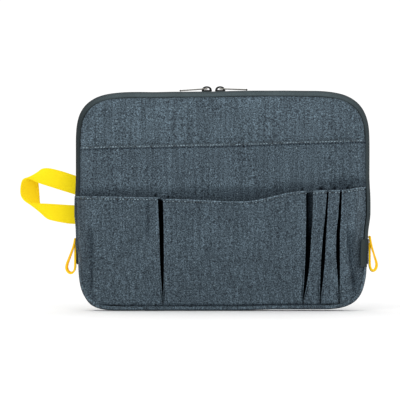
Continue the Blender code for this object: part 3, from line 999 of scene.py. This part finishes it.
def swell_by_pressure(obj, side, rest, pinned, crown):
    """Cloth simulation of the outer fabric, with its rim and its inner face held still."""
    group = obj.vertex_groups.new(name="held")
    group.add(pinned, 1.0, "ADD")
    cloth = obj.modifiers.new("cloth", "CLOTH")
    settings = cloth.settings
    settings.quality = 5
    settings.mass = 0.3
    settings.tension_stiffness = 25.0
    settings.compression_stiffness = 25.0
    settings.bending_stiffness = 1.5
    settings.vertex_group_mass = "held"
    settings.use_pressure = True
    settings.uniform_pressure_force = 4.0
    settings.effector_weights.gravity = 0.0
    cloth.collision_settings.use_collision = False
    scene = bpy.context.scene
    last = 1 + sizes().swell_frames
    cloth.point_cache.frame_start = 1
    cloth.point_cache.frame_end = last
    for number in range(1, last + 1):
        scene.frame_set(number)
    apply_modifiers(obj)
    scene.frame_set(1)
    for vertex in obj.data.vertices:
        move = vertex.co - rest[vertex.index]
        out = min(max(side * move.y, 0.0), crown)
        vertex.co = rest[vertex.index] + Vector((0.0, side * out, 0.0))
    obj.vertex_groups.clear()


class ORGANIZER_OT_padded_panels(bpy.types.Operator):
    """Swell the outer fabric of the front cover and of the back over their foam"""
    bl_idname = "organizer.padded_panels"
    bl_label = "Padded Panels"

    def execute(self, context):
        for half, side, body in (("front", -1, "front_cover"), ("back", 1, "back_shell")):
            obj = padded_panel(f"{half}_panel_cloth", side)
            smooth(settle_piece(obj), CLOTH_ANGLE)
            dress(obj, slate_denim(), body)
            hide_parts(f"{half}_outer_panel")
        return {"FINISHED"}


def lining_sheet(name, node, body, place):
    obj = grid(name, 48, 36, place)
    wall(obj, LINING_CLOTH, edge=0.3)
    smooth(obj, CLOTH_ANGLE)
    dress(obj, charcoal_lining(), body)
    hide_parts(node)


class ORGANIZER_OT_inner_layers(bpy.types.Operator):
    """Lay the linings and the inner pockets, and finish the foam and the seam bindings"""
    bl_idname = "organizer.inner_layers"
    bl_label = "Inner Layers"

    def execute(self, context):
        for half, side, body in (("front", -1, "front_cover"), ("back", 1, "back_shell")):
            for node, material in ((f"{half}_foam_pad", pale_foam()),
                                   (f"{half}_seam_binding", hidden_tape())):
                frame["nodes"][node].data.materials.clear()
                frame["nodes"][node].data.materials.append(material)
            low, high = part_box(f"{half}_lining")
            inner = min(abs(low.y), abs(high.y))

            def place(u, v, side=side, low=low, high=high, inner=inner):
                z = mix((low.z + high.z) / 2 - math.cos(math.pi * v) * (high.z - low.z) / 2,
                        mix(low.z, high.z, v), 0.3)
                x = (2 * u - 1) * half_width(z, LINING_INSET, 1.0) * side
                y = side * (inner + 0.0001 * ripple(x, z, 9.0, 0.03))
                return x, y, z, 1.0

            lining_sheet(f"{half}_lining_cloth", f"{half}_lining", body, place)
        self.document_pocket()
        self.card_pocket()
        return {"FINISHED"}

    def document_pocket(self):
        low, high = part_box("document_pocket")

        def place(u, v):
            top = high.z - 0.004 * math.sin(math.pi * u)
            z = mix(low.z, top, v)
            x = (2 * u - 1) * half_width(z, LINING_INSET + 0.0003, 1.0)
            y = low.y - 0.0009 * smoothstep(v) * math.sin(math.pi * u) + 0.0003
            hem = 0.0003 * bump((v - 0.94) / 0.03)
            # a painted highlight along the top hem
            return x, y + hem, z, 1.0 + 0.3 * smoothstep((v - 0.985) / 0.01)

        obj = grid("document_pocket_cloth", 60, 60, place)
        wall(obj, LINING_CLOTH, edge=0.3)
        dress(smooth(obj, CLOTH_ANGLE), charcoal_lining(), "back_shell")
        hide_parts("document_pocket")
        route = [((mix(-0.128, 0.128, i / 40), low.y - 0.0010, high.z - 0.0065), (0, -1, 0))
                 for i in range(41)]
        stitches("document_pocket_stitches", [route], dark_thread(), "back_shell")

    def card_pocket(self):
        low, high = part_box("card_pocket")
        slots = 4

        def place(u, v):
            x = mix(low.x, high.x, 1.0 - u)
            z = mix(low.z, high.z, v)
            share = (u * slots) % 1.0
            belly = math.sin(math.pi * share) ** 0.6 if 0.0 < share < 1.0 else 0.0
            y = high.y - 0.0003 + 0.0008 * belly * smoothstep((v - 0.05) / 0.5)
            # a painted highlight along the top hem
            return x, y, z, 1.0 + 0.3 * smoothstep((v - 0.98) / 0.01)

        obj = grid("card_pocket_cloth", 72, 30, place)
        wall(obj, LINING_CLOTH, edge=0.3)
        dress(smooth(obj, CLOTH_ANGLE), charcoal_lining(), "front_cover")
        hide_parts("card_pocket")
        routes = []
        for slot in range(slots + 1):
            x = mix(low.x + 0.002, high.x - 0.002, slot / slots)
            routes.append([((x, high.y + 0.0002, mix(low.z + 0.002, high.z - 0.001, i / 20)),
                            (0, 1, 0)) for i in range(21)])
        routes.append([((mix(low.x + 0.002, high.x - 0.002, i / 30), high.y + 0.0001, low.z + 0.002),
                        (0, 1, 0)) for i in range(31)])
        stitches("card_pocket_stitches", routes, dark_thread(), "front_cover")


def band_place(track, section, side, shade, uneven):
    """place(u, v) for a band that carries one section round the outline."""
    last = len(track) - 1

    def place(u, v):
        station = track[round(u * last)]
        share = v if side > 0 else 1.0 - v
        inset, y = spline(section, share)
        x, z = on_outline(station, inset)
        bulge = uneven * noise.noise(Vector((x * 45, side * 3.0, z * 45)))
        bulge *= math.sin(math.pi * min(max(share, 0.0), 1.0))
        x, z = on_outline(station, inset - bulge)
        # painted shade: the bands darker down the sides, the left more than the right
        painted_side_shade = 0.36 if x < 0 else 0.55
        return x, side * y, z, shade(share) * mix(1.0, painted_side_shade, station[4] ** 2)
    return place


class ORGANIZER_OT_zip_bands(bpy.types.Operator):
    """Roll the fabric bands beside the zip and lay the two zip tapes under their edges"""
    bl_idname = "organizer.zip_bands"
    bl_label = "Zip Bands"

    def execute(self, context):
        track = upper_track()
        for half, side, body in (("front", -1, "front_cover"), ("back", 1, "back_shell")):
            # painted light and shade across the band: dark at the seam, a painted highlight where it
            # faces forward, darker where it turns over to the zip
            def band_shade(share):
                seam = mix(0.26, 1.40, smoothstep((share - 0.12) / 0.13))
                return seam * mix(1.0, 0.62, smoothstep((share - 0.34) / 0.22))

            band = grid(f"{half}_zip_band", len(track) - 1, 20,
                        band_place(track, ZIP_BAND, side, band_shade, 0.0004))
            wall(band, CLOTH, offset=0.0, edge=0.35)
            smooth(settle_piece(band), CLOTH_ANGLE)
            dress(band, band_fabric(), body)
            tape = grid(f"{half}_zip_tape", len(track) - 1, 8,
                        band_place(track, ZIP_TAPE, side, lambda share: 1.0, 0.0))
            wall(tape, ZIP_TAPE_THICKNESS, offset=0.0, edge=0.3)
            smooth(settle_piece(tape), CLOTH_ANGLE)
            dress(tape, dark_tape(), body)
            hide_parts(f"{half}_zip_gusset")
            route = []
            for station in track:
                x, z = on_outline(station, 0.0007)
                outward = (station[4] / TOP_REACH[0], 0.0, station[5] / TOP_REACH[1])
                route.append((settle((x, side * 0.0056, z)), outward))
            stitches(f"{half}_zip_stitches", [route], dark_thread(), body)
        return {"FINISHED"}


def coil_turn():
    """One rounded turn of the coil, lying across the zip."""
    deselect()
    bpy.ops.mesh.primitive_cube_add(size=1.0)
    obj = bpy.context.object
    obj.scale = (0.0008, 0.0027, 0.0010)
    freeze(obj)
    bpy.ops.object.mode_set(mode="EDIT")
    bpy.ops.mesh.select_all(action="SELECT")
    bpy.ops.mesh.bevel(offset=0.00028, segments=1)
    bpy.ops.object.mode_set(mode="OBJECT")
    return obj


class ORGANIZER_OT_zip_coils(bpy.types.Operator):
    """Set the turns of both zip coils, each half a pitch from the other's"""
    bl_idname = "organizer.zip_coils"
    bl_label = "Zip Coils"

    def execute(self, context):
        pitch = sizes().coil_pitch
        route = []
        for station in upper_track():
            x, z = on_outline(station, 0.0010)
            outward = (station[4] / TOP_REACH[0], 0.0, station[5] / TOP_REACH[1])
            route.append((settle((x, 0.0, z)), outward))
        for half, side, body, phase in (("front", -1, "front_cover", 0.0),
                                        ("back", 1, "back_shell", 0.5)):
            places = []
            for place in stitch_places(route, pitch / 2)[int(phase * 2)::2]:
                place.translation.y = side * 0.0009
                places.append(place)
            obj = smooth(repeated(f"{half}_zip_coil", coil_turn(), places), ALL_ROUND)
            dress(obj, coil_nylon(), body)
            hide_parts(f"{half}_zip_teeth")
        return {"FINISHED"}


class ORGANIZER_OT_lower_gusset(bpy.types.Operator):
    """Run the denim gusset from zip end to zip end round the base"""
    bl_idname = "organizer.lower_gusset"
    bl_label = "Lower Gusset"

    def execute(self, context):
        track = lower_track()
        last = len(track) - 1

        def place(u, v):
            station = track[round(u * last)]
            flat = smoothstep(abs(station[5]))
            inset, y = spline([tuple(mix(a, b, flat) for a, b in zip(side, base))
                               for side, base in zip(SIDE_BAND, BASE_BAND)], v)
            x, z = on_outline(station, inset)
            uneven = 0.00035 * noise.noise(Vector((x * 40, y * 60, z * 40)))
            x, z = on_outline(station, inset + abs(uneven) * (1.0 - flat) + 0.0001)
            # painted light and shade: darker at the front seam, a painted highlight on the roll beside
            # it, dark at the back seam and darker under the base
            seam = mix(0.80, 1.12, smoothstep(v / 0.07))
            seam *= mix(1.0, 0.35, smoothstep((v - 0.95) / 0.05))
            under = mix(1.0, 0.42, flat * smoothstep((v - 0.17) / 0.08))
            return x, y, z, seam * under

        obj = grid("lower_gusset_cloth", last, 30, place)
        wall(obj, CLOTH, offset=0.0, edge=0.35)
        smooth(settle_piece(obj), CLOTH_ANGLE)
        dress(obj, slate_denim())
        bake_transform(obj)
        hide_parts("lower_gusset")
        return {"FINISHED"}


def spread_rows(v, low, top):
    """Heights of the slip pocket's rows, gathered where the front pockets' mouths lie."""
    if v < 0.22:
        return mix(low, 0.108, v / 0.22)
    if v < 0.66:
        return mix(0.108, 0.140, (v - 0.22) / 0.44)
    return mix(0.140, top, (v - 0.66) / 0.34)


def slip_point(u, v):
    """A point on the slip pocket's outer face."""
    z_low = PANEL_INSET
    edge = HALF_WIDTH - PANEL_INSET
    x_flat = math.sin(math.pi / 2 * (2 * u - 1)) * edge
    x_flat = mix(x_flat, (2 * u - 1) * edge, 0.6)
    top = slip_mouth_z(x_flat)
    z = spread_rows(v, z_low, top)
    limit = half_width(z, PANEL_INSET)
    x = x_flat * limit / edge
    y = slip_y(x, z) - CLOTH
    below = slip_mouth_z(x) - z
    edge_in = limit - abs(x)
    above = z - mouth_z(x)
    shown = smoothstep((above + 0.004) / 0.010)
    lift = sizes().wrinkle * 1.4 * ripple(x, z, 1.0, 0.040) * smoothstep(edge_in / 0.015)
    lift += 0.5 * sizes().wrinkle * ripple(x, z, 2.0, 0.014)
    lift = lift * shown + puckers(x, below - SLIP_SEAM, 0.00022)
    lift -= 0.00055 * math.exp(-((below - SLIP_SEAM) / 0.0007) ** 2)
    diagonal = bump((x + 0.1385 + (z - 0.171) * 1.2) / 0.008) * bump((z - 0.168) / 0.008)
    lift += 0.0006 * diagonal * math.sin((x + z) / 0.0021)
    dip = 0.0014 * math.exp(-(edge_in / 0.0022) ** 2)
    return x, y - lift + dip, z, slip_shade(x, z, above, below, edge_in)


def slip_shade(x, z, above, below, edge_in):
    """Painted light and shade on the slip pocket: a painted shadow dimming it above the mouths,
    painted black shade inside the pleats, painted highlights along the mouths and the stitch row, and
    painted shade in the gapes, the stitch groove and the side seam.
    """
    middle = bump((x - 0.010) / 0.090)
    pens = bump((x - 0.124) / 0.030)
    flat = 0.0035 + 0.0060 * middle + 0.0035 * pens
    dim = 1.0 - smoothstep((above - flat) / 0.0105)
    shadow = 1.0 - (0.30 + 0.09 * middle + 0.16 * pens) * dim
    # painted black shade inside the pockets, with a painted gradient in the second slit and lighter
    # near the floor seam
    second = smoothstep((x - 0.0880) / 0.0060) * (x < 0.10)
    inside = 0.014 + 0.40 * smoothstep((z - 0.072) / 0.040) * second
    inside = mix(0.55, inside, smoothstep((z - FLOOR_INSET - 0.0002) / 0.0010))
    hidden = smoothstep((-0.0009 - above) / 0.0012)
    # painted highlight along the mouths, with painted black shadow where they gape
    rim = 1.0 + 0.30 * bump((above + 0.0005) / 0.0010)
    for gape_x, reach in GAPES:
        rim *= 1.0 - 0.97 * bump((x - gape_x) / reach) * bump((above - 0.0021) / 0.0028)
    # painted shade at the side seam, a painted highlight along the stitch row and painted dark dashes
    # in its groove; the whole pocket a little darker
    seam = mix(0.45, 1.0, smoothstep(edge_in / 0.0025))
    bright = 1.0 + 0.25 * bump((below - SLIP_SEAM) / 0.0014)
    dashes = 0.65 + 0.35 * math.sin(2 * math.pi * x / sizes().stitch_pitch + 1.0)
    groove = 1.0 - 0.85 * dashes * bump((below - SLIP_SEAM - 0.0019) / 0.0015)
    return mix(shadow * rim, inside, hidden) * bright * groove * seam * 0.90


class ORGANIZER_OT_slip_pocket(bpy.types.Operator):
    """Lay the slip pocket over the cover, with its hem and its row of stitches"""
    bl_idname = "organizer.slip_pocket"
    bl_label = "Slip Pocket"

    def execute(self, context):
        obj = grid("slip_pocket_cloth", 250, 160, slip_point)
        wall(obj, CLOTH, offset=-1.0, edge=0.35)
        smooth(settle_piece(obj), CLOTH_ANGLE)
        dress(obj, slate_denim(), "front_cover")
        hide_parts("slip_pocket")
        route = []
        for step in range(121):
            x = mix(-0.1475, 0.1475, step / 120)
            z = slip_mouth_z(x) - SLIP_SEAM
            y = slip_y(x, z) - CLOTH - 0.00015
            route.append((settle((x, y, z)), (0.0, -1.0, 0.0)))
        stitches("slip_pocket_stitches", [route], pale_thread(), "front_cover")
        return {"FINISHED"}


def front_pocket(name, facts):
    columns = max(26, round((facts["right"][0] - facts["left"][0]) / 0.0012))
    drop = sizes().hem_drop

    def place(u, v):
        height = v / 0.55 * 0.87 if v < 0.55 else 0.87 + (v - 0.55) / 0.45 * 0.13
        x, y, z, shade = pocket_point(facts, 2 * u - 1, height)
        face = 1.0 if shade > 0.8 else 0.25
        below = mouth_z(x) - z
        ease = smoothstep(height / 0.2)
        lift = sizes().wrinkle * 1.5 * ripple(x, z, 6.0, 0.045) * ease
        lift += 0.5 * sizes().wrinkle * ripple(x, z, 7.0, 0.013) * ease
        lift += puckers(x, below - drop, 0.00028)
        lift -= 0.00055 * math.exp(-((below - drop) / 0.0007) ** 2)
        lift += 0.0006 * (1.0 - smoothstep((below - 0.006) / 0.002))
        # painted shade: darker in the creases and at the floor seam, and the pockets darker overall
        # than the panel above, the left ones most; hem_shade paints light and shade along the hem
        fold = crease(x, z)
        seam = mix(0.70, 1.0, smoothstep((z - FLOOR_INSET) / 0.0016))
        level = mix(0.86, 0.94, smoothstep((x - 0.09) / 0.03))
        shade *= hem_shade(x, below, 0.85) * seam * level * (1.0 - fold)
        return x, y - (lift - 0.0016 * fold) * face, z, shade

    obj = grid(f"{name}_cloth", columns, 74, place)
    wall(obj, CLOTH, offset=-1.0, edge=0.35)
    smooth(settle_piece(obj), CLOTH_ANGLE)
    dress(obj, slate_denim(), "front_cover")
    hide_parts(name)
    return hem_route(facts, drop)


def hem_route(facts, drop):
    """The row of stitches under a pocket's mouth, on its outward face."""
    route = []
    steps = 60
    for step in range(steps + 1):
        s = mix(-FACE_SHARE, FACE_SHARE, step / steps)
        x, y, z, _ = pocket_point(facts, s, 1.0)
        height = 1.0 - drop / (z - FLOOR_INSET)
        x, y, z, _ = pocket_point(facts, s, height)
        route.append((settle((x, y - 0.00025, z)), (0.0, -1.0, 0.0)))
    return route


class ORGANIZER_OT_front_pockets(bpy.types.Operator):
    """Stand the pleated pockets off the slip pocket and stitch their hems"""
    bl_idname = "organizer.front_pockets"
    bl_label = "Front Pockets"

    def execute(self, context):
        routes = [front_pocket(name, facts) for name, facts in POCKETS.items()]
        stitches("front_pocket_stitches", routes, pale_thread(), "front_cover")
        return {"FINISHED"}


def bevelled_box(low, high, offset, segments=2):
    """A box primitive between two corners with all its edges rounded."""
    deselect()
    middle = [(a + b) / 2 for a, b in zip(low, high)]
    bpy.ops.mesh.primitive_cube_add(size=1.0, location=middle)
    obj = bpy.context.object
    obj.scale = [b - a for a, b in zip(low, high)]
    freeze(obj)
    bpy.ops.object.mode_set(mode="EDIT")
    bpy.ops.mesh.select_all(action="SELECT")
    bpy.ops.mesh.bevel(offset=offset, segments=segments)
    bpy.ops.object.mode_set(mode="OBJECT")
    return obj


class ORGANIZER_OT_sliders(bpy.types.Operator):
    """Make both zip sliders: plates, neck, crown and the pull tab with its eye and tip"""
    bl_idname = "organizer.sliders"
    bl_label = "Zip Sliders"

    def execute(self, context):
        for name, outward in (("left", -1), ("right", 1)):
            self.shell(name, outward)
            self.crown(name)
            self.puller(name, outward)
        return {"FINISHED"}

    def shell(self, name, outward):
        low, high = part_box(f"{name}_slider_body")
        plate = 0.0013
        under = 0.0007
        neck = 0.00025
        parts = []
        for bottom, top in ((high.z - plate, high.z), (low.z, low.z + under)):
            part = bevelled_box((low.x, low.y, bottom), (high.x, high.y, top), 0.00045, 3)
            middle = (low.x + high.x) / 2
            for vertex in part.data.vertices:
                nose = smoothstep((vertex.co.x - middle) * outward / (high.x - low.x) + 0.5)
                vertex.co.y *= mix(0.72, 1.0, nose)
            parts.append(part)
        parts.append(bevelled_box((low.x + 0.001, -neck, low.z + under - 0.0002),
                                  (high.x - 0.001, neck, high.z - plate + 0.0002), 0.00008, 1))
        obj = joined(f"{name}_slider_shell", parts)
        dress(smooth(obj, METAL_ANGLE), gunmetal(), f"{name}_slider")
        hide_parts(f"{name}_slider_body")

    def crown(self, name):
        low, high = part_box(f"{name}_slider_crown")
        middle = (low.x + high.x) / 2
        thick = 0.0012
        reach = (high.x - low.x) / 2 - thick
        rise = high.z - low.z - thick
        deselect()
        bpy.ops.mesh.primitive_torus_add(
            location=(0.0, 0.0, 0.0), rotation=(math.radians(90), 0.0, 0.0),
            major_radius=reach, minor_radius=thick, major_segments=48, minor_segments=16)
        obj = freeze(bpy.context.object)
        for vertex in obj.data.vertices:
            x, y, z = vertex.co
            vertex.co = (x, y * high.y / thick, z * rise / reach)
        bpy.ops.object.mode_set(mode="EDIT")
        bpy.ops.mesh.select_all(action="SELECT")
        bpy.ops.mesh.bisect(plane_co=(0, 0, -0.0002), plane_no=(0, 0, 1), use_fill=True,
                            clear_inner=True)
        bpy.ops.object.mode_set(mode="OBJECT")
        for vertex in obj.data.vertices:
            vertex.co += Vector((middle, 0.0, low.z))
        name_piece(obj, f"{name}_slider_arch")
        dress(smooth(obj, METAL_ANGLE), gunmetal(), f"{name}_slider")
        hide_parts(f"{name}_slider_crown")

    def puller(self, name, outward):
        low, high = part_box(f"{name}_puller")
        droop = math.radians(4.0 if outward < 0 else 2.0)
        hang = 0.0004
        joint = [j for j in frame["joints"] if j["name"] == f"{name}_puller_swing"][0]
        pin = Vector(joint["pos_m"])
        length = (high.x - low.x) - 0.0010
        wide = high.y
        thick = 0.0012
        bar = bevelled_box((-0.0008, -wide, -thick / 2), (length - 0.0012, wide, thick / 2), 0.0003, 2)
        for vertex in bar.data.vertices:
            waist = bump((vertex.co.x - length * 0.45) / (length * 0.4))
            tip = smoothstep((vertex.co.x - length * 0.82) / (length * 0.2))
            vertex.co.y *= 1.0 - 0.10 * waist - 0.25 * tip
        eye = bevelled_box((0.0009, -0.00195, -0.002), (0.0072, 0.00195, 0.002), 0.0006, 2)
        cut = bar.modifiers.new("eye", "BOOLEAN")
        cut.operation = "DIFFERENCE"
        cut.object = eye
        apply_modifiers(bar)
        bpy.data.objects.remove(eye)
        deselect()
        bpy.ops.mesh.primitive_cylinder_add(
            vertices=20, radius=0.00085, depth=wide * 1.45, location=(length - 0.0012, 0.0, 0.0),
            rotation=(math.radians(90), 0.0, 0.0))
        tip = freeze(bpy.context.object)
        rounding = tip.modifiers.new("rounding", "BEVEL")
        rounding.width = 0.0003
        rounding.segments = 2
        apply_modifiers(tip)
        for obj, piece in ((bar, f"{name}_pull_tab_bar"), (tip, f"{name}_pull_tab_tip")):
            for vertex in obj.data.vertices:
                u, v, w = vertex.co
                along = u * math.cos(droop) + w * math.sin(droop)
                up = w * math.cos(droop) - u * math.sin(droop)
                vertex.co = (pin.x + outward * along, v, pin.z + up - hang)
            if outward < 0:
                obj.data.flip_normals()
            name_piece(obj, piece)
            smooth(obj, METAL_ANGLE)
        dress(bar, puller_metal(), f"{name}_pull_tab")
        dress(tip, gunmetal(), f"{name}_pull_tab")
        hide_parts(f"{name}_puller")


class ORGANIZER_OT_zip_ends(bpy.types.Operator):
    """Cover the zip ends with folded tape tabs and clamp the stops under them"""
    bl_idname = "organizer.zip_ends"
    bl_label = "Zip Ends"

    def execute(self, context):
        for name, side in (("left", -1), ("right", 1)):
            low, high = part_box(f"{name}_zip_end_tab")
            outer = max(abs(low.x), abs(high.x))

            def place(u, v, side=side, low=low, high=high, outer=outer):
                y = mix(low.y, high.y, u) * side
                z = mix(low.z, high.z, v)
                edge = min(u, 1 - u, v * 2, (1 - v) * 2)
                x = outer - 0.0004 * (1 - smoothstep(edge / 0.08)) - 0.0006 * (2 * u - 1) ** 4
                x += 0.00025 * noise.noise(Vector((y * 160, side, z * 160)))
                # painted shade, darker towards the tab's edges
                return side * x, y, z, mix(0.75, 1.0, smoothstep(edge / 0.06))

            tab = grid(f"{name}_end_tab", 24, 40, place)
            wall(tab, TAB_TAPE, offset=-1.0, edge=0.35)
            smooth(settle_piece(tab), CLOTH_ANGLE)
            dress(tab, dark_tape(), "back_shell")
            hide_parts(f"{name}_zip_end_tab")
            inset = 0.0012
            corners = [(low.y + inset, low.z + inset), (high.y - inset, low.z + inset),
                       (high.y - inset, high.z - inset), (low.y + inset, high.z - inset)]
            route = []
            for (y0, z0), (y1, z1) in zip(corners, corners[1:] + corners[:1]):
                for step in range(8):
                    point = (side * (outer - 0.00045), mix(y0, y1, step / 8), mix(z0, z1, step / 8))
                    route.append((settle(point), (side, 0.0, 0.0)))
            stitches(f"{name}_end_tab_stitches", [route], dark_thread(), "back_shell")
            low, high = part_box(f"{name}_zip_stop")
            stop = bevelled_box(low, high, 0.0002, 2)
            name_piece(stop, f"{name}_zip_clamp")
            dress(smooth(stop, METAL_ANGLE), gunmetal(), "back_shell")
            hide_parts(f"{name}_zip_stop")
        return {"FINISHED"}


class ORGANIZER_OT_side_label(bpy.types.Operator):
    """Fold the blank label over the right edge of the pockets"""
    bl_idname = "organizer.side_label"
    bl_label = "Side Label"

    def execute(self, context):
        low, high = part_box("side_label")

        def place(u, v):
            z = mix(low.z, high.z, v)
            x = mix(low.x, high.x, u)
            y = mix(-0.0192, -0.0118, smoothstep(u) ** 0.9)
            y += 0.0003 * noise.noise(Vector((x * 200, 5.0, z * 120)))
            y += 0.0004 * bump((v - 0.5) / 0.6) * math.sin(math.pi * u)
            edge = min(v, 1 - v)
            # painted light and shade: lighter on its face, darker at its top and bottom edges and
            # where it turns round the edge
            return x, y, z, mix(0.8, 1.15, smoothstep(edge / 0.05)) * mix(1.1, 0.8, u)

        obj = grid("side_label_cloth", 24, 60, place)
        wall(obj, TAB_TAPE, offset=-1.0, edge=0.35)
        smooth(settle_piece(obj), CLOTH_ANGLE)
        dress(obj, dark_tape(), "front_cover")
        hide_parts("side_label")
        return {"FINISHED"}


class ORGANIZER_OT_hand_strap(bpy.types.Operator):
    """Fold the yellow webbing back on itself with both ends running into the left seam"""
    bl_idname = "organizer.hand_strap"
    bl_label = "Hand Strap"

    def execute(self, context):
        def place(u, v):
            near = Vector(spline(STRAP_NEAR, u))
            far = Vector(spline(STRAP_FAR, u))
            point = near.lerp(far, v)
            selvage = bump((min(v, 1 - v) - 0.045) / 0.045)
            across = (far - near).normalized()
            ahead = Vector(spline(STRAP_NEAR, min(u + 0.01, 1.0)))
            along = ahead - Vector(spline(STRAP_NEAR, max(u - 0.01, 0.0)))
            normal = across.cross(along.normalized())
            point += normal * (0.0002 * selvage + 0.0005 * noise.noise(point * 40))
            # painted shade on the inner face of the far turn, and darker along the selvages
            inner = bump((u - 0.50) / 0.16)
            return *point, 1.0 - 0.30 * inner - 0.10 * selvage

        obj = grid("hand_strap_webbing", 220, 40, place)
        wall(obj, STRAP_THICKNESS, offset=0.0, edge=0.3)
        smooth(obj, CLOTH_ANGLE)
        dress(obj, yellow_webbing(), "hand_strap")
        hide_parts("hand_strap")
        return {"FINISHED"}


class ORGANIZER_OT_side_loops(bpy.types.Operator):
    """Bend a narrow tape into a teardrop on each side"""
    bl_idname = "organizer.side_loops"
    bl_label = "Side Loops"

    def execute(self, context):
        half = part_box("right_side_loop")[1].y
        for name, side in (("left", -1), ("right", 1)):
            def place(u, v, side=side):
                out, up = spline(LOOP_LINE, u)
                ahead = spline(LOOP_LINE, min(u + 0.01, 1.0))
                behind = spline(LOOP_LINE, max(u - 0.01, 0.0))
                run = Vector((ahead[0] - behind[0], ahead[1] - behind[1])).normalized()
                across = mix(-half, half, v)
                twist = (0.20 if side > 0 else 0.10) * bump((u - 0.50) / 0.30)
                pinch = mix(0.55, 1.0, smoothstep(min(u, 1 - u) / 0.2))
                hang = -0.0024 if side < 0 else 0.0
                out *= 1.22 if side < 0 else 1.0
                point = Vector((LOOP_TOP[0] + out, across * pinch, LOOP_TOP[1] + up + hang))
                point.x += -run.y * across * twist
                point.z += run.x * across * twist
                # painted shade along the strand that runs out and down, where its inner face shows
                shade = 1.0 - 0.30 * bump((u - 0.30) / 0.30)
                return side * point.x, point.y * side, point.z, shade

            obj = grid(f"{name}_loop_tape", 120, 16, place)
            wall(obj, LOOP_THICKNESS, offset=0.0, edge=0.35)
            dress(smooth(obj, CLOTH_ANGLE), golden_tape(), f"{name}_side_loop")
            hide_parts(f"{name}_side_loop")
        return {"FINISHED"}


class ORGANIZER_OT_stage(bpy.types.Operator):
    """Set the pale floor, the soft lights and the camera"""
    bl_idname = "organizer.stage"
    bl_label = "Stage"

    def execute(self, context):
        scene = context.scene
        stage = scene.organizer_stage
        scene.view_settings.view_transform = "Standard"
        deselect()
        bpy.ops.mesh.primitive_plane_add(size=8.0, location=(0.0, 0.0, -0.0002))
        floor = freeze(name_piece(bpy.context.object, "stage_floor"))
        floor.data.materials.append(studio_floor())
        world = bpy.data.worlds.new("white_surround")
        world.use_nodes = True
        background = world.node_tree.nodes["Background"]
        background.inputs["Color"].default_value = (1.0, 1.0, 1.0, 1.0)
        background.inputs["Strength"].default_value = stage.surround
        scene.world = world
        target = Vector((stage.aim_x, 0.0, stage.aim_z))
        for name, place, size, power in (("key", (-0.35, -1.0, 1.05), 0.9, stage.key),
                                         ("fill", (0.9, -0.9, 0.5), 0.8, stage.fill)):
            light = bpy.data.lights.new(name, "AREA")
            light.size = size
            light.energy = power
            lamp = bpy.data.objects.new(name, light)
            lamp.location = place
            lamp.rotation_euler = (target - Vector(place)).to_track_quat("-Z", "Y").to_euler()
            scene.collection.objects.link(lamp)
        camera = bpy.data.objects.new("camera", bpy.data.cameras.new("camera"))
        camera.data.lens = stage.lens
        camera.data.clip_start = 0.05
        camera.location = (stage.aim_x, -stage.distance, stage.aim_z)
        camera.rotation_euler = (math.radians(90), 0.0, 0.0)
        scene.collection.objects.link(camera)
        scene.camera = camera
        return {"FINISHED"}


OPERATORS = (
    ORGANIZER_OT_stage, ORGANIZER_OT_padded_panels, ORGANIZER_OT_inner_layers,
    ORGANIZER_OT_zip_bands, ORGANIZER_OT_zip_coils, ORGANIZER_OT_lower_gusset,
    ORGANIZER_OT_slip_pocket, ORGANIZER_OT_front_pockets, ORGANIZER_OT_sliders,
    ORGANIZER_OT_zip_ends, ORGANIZER_OT_side_label, ORGANIZER_OT_hand_strap,
    ORGANIZER_OT_side_loops,
)


class ORGANIZER_PT_panel(bpy.types.Panel):
    """Lists the organizer's pieces and settings"""
    bl_label = "Organizer"
    bl_idname = "ORGANIZER_PT_panel"
    bl_space_type = "VIEW_3D"
    bl_region_type = "UI"
    bl_category = "Organizer"

    def draw(self, context):
        layout = self.layout
        for operator in OPERATORS:
            layout.operator(operator.bl_idname)
        for group in (context.scene.organizer_sizes, context.scene.organizer_colours,
                      context.scene.organizer_stage):
            box = layout.box()
            for key in group.__annotations__:
                box.prop(group, key)


GROUPS = (
    ("organizer_sizes", OrganizerSizes),
    ("organizer_colours", OrganizerColours),
    ("organizer_stage", OrganizerStage),
)


def register():
    for name, group in GROUPS:
        bpy.utils.register_class(group)
        setattr(bpy.types.Scene, name, PointerProperty(type=group))
    for operator in OPERATORS:
        bpy.utils.register_class(operator)
    bpy.utils.register_class(ORGANIZER_PT_panel)


def unregister():
    bpy.utils.unregister_class(ORGANIZER_PT_panel)
    for operator in reversed(OPERATORS):
        bpy.utils.unregister_class(operator)
    for name, group in reversed(GROUPS):
        delattr(bpy.types.Scene, name)
        bpy.utils.unregister_class(group)


def main():
    register()
    for operator in OPERATORS:
        family, name = operator.bl_idname.split(".")
        getattr(getattr(bpy.ops, family), name)()


if __name__ == "__main__":
    main()
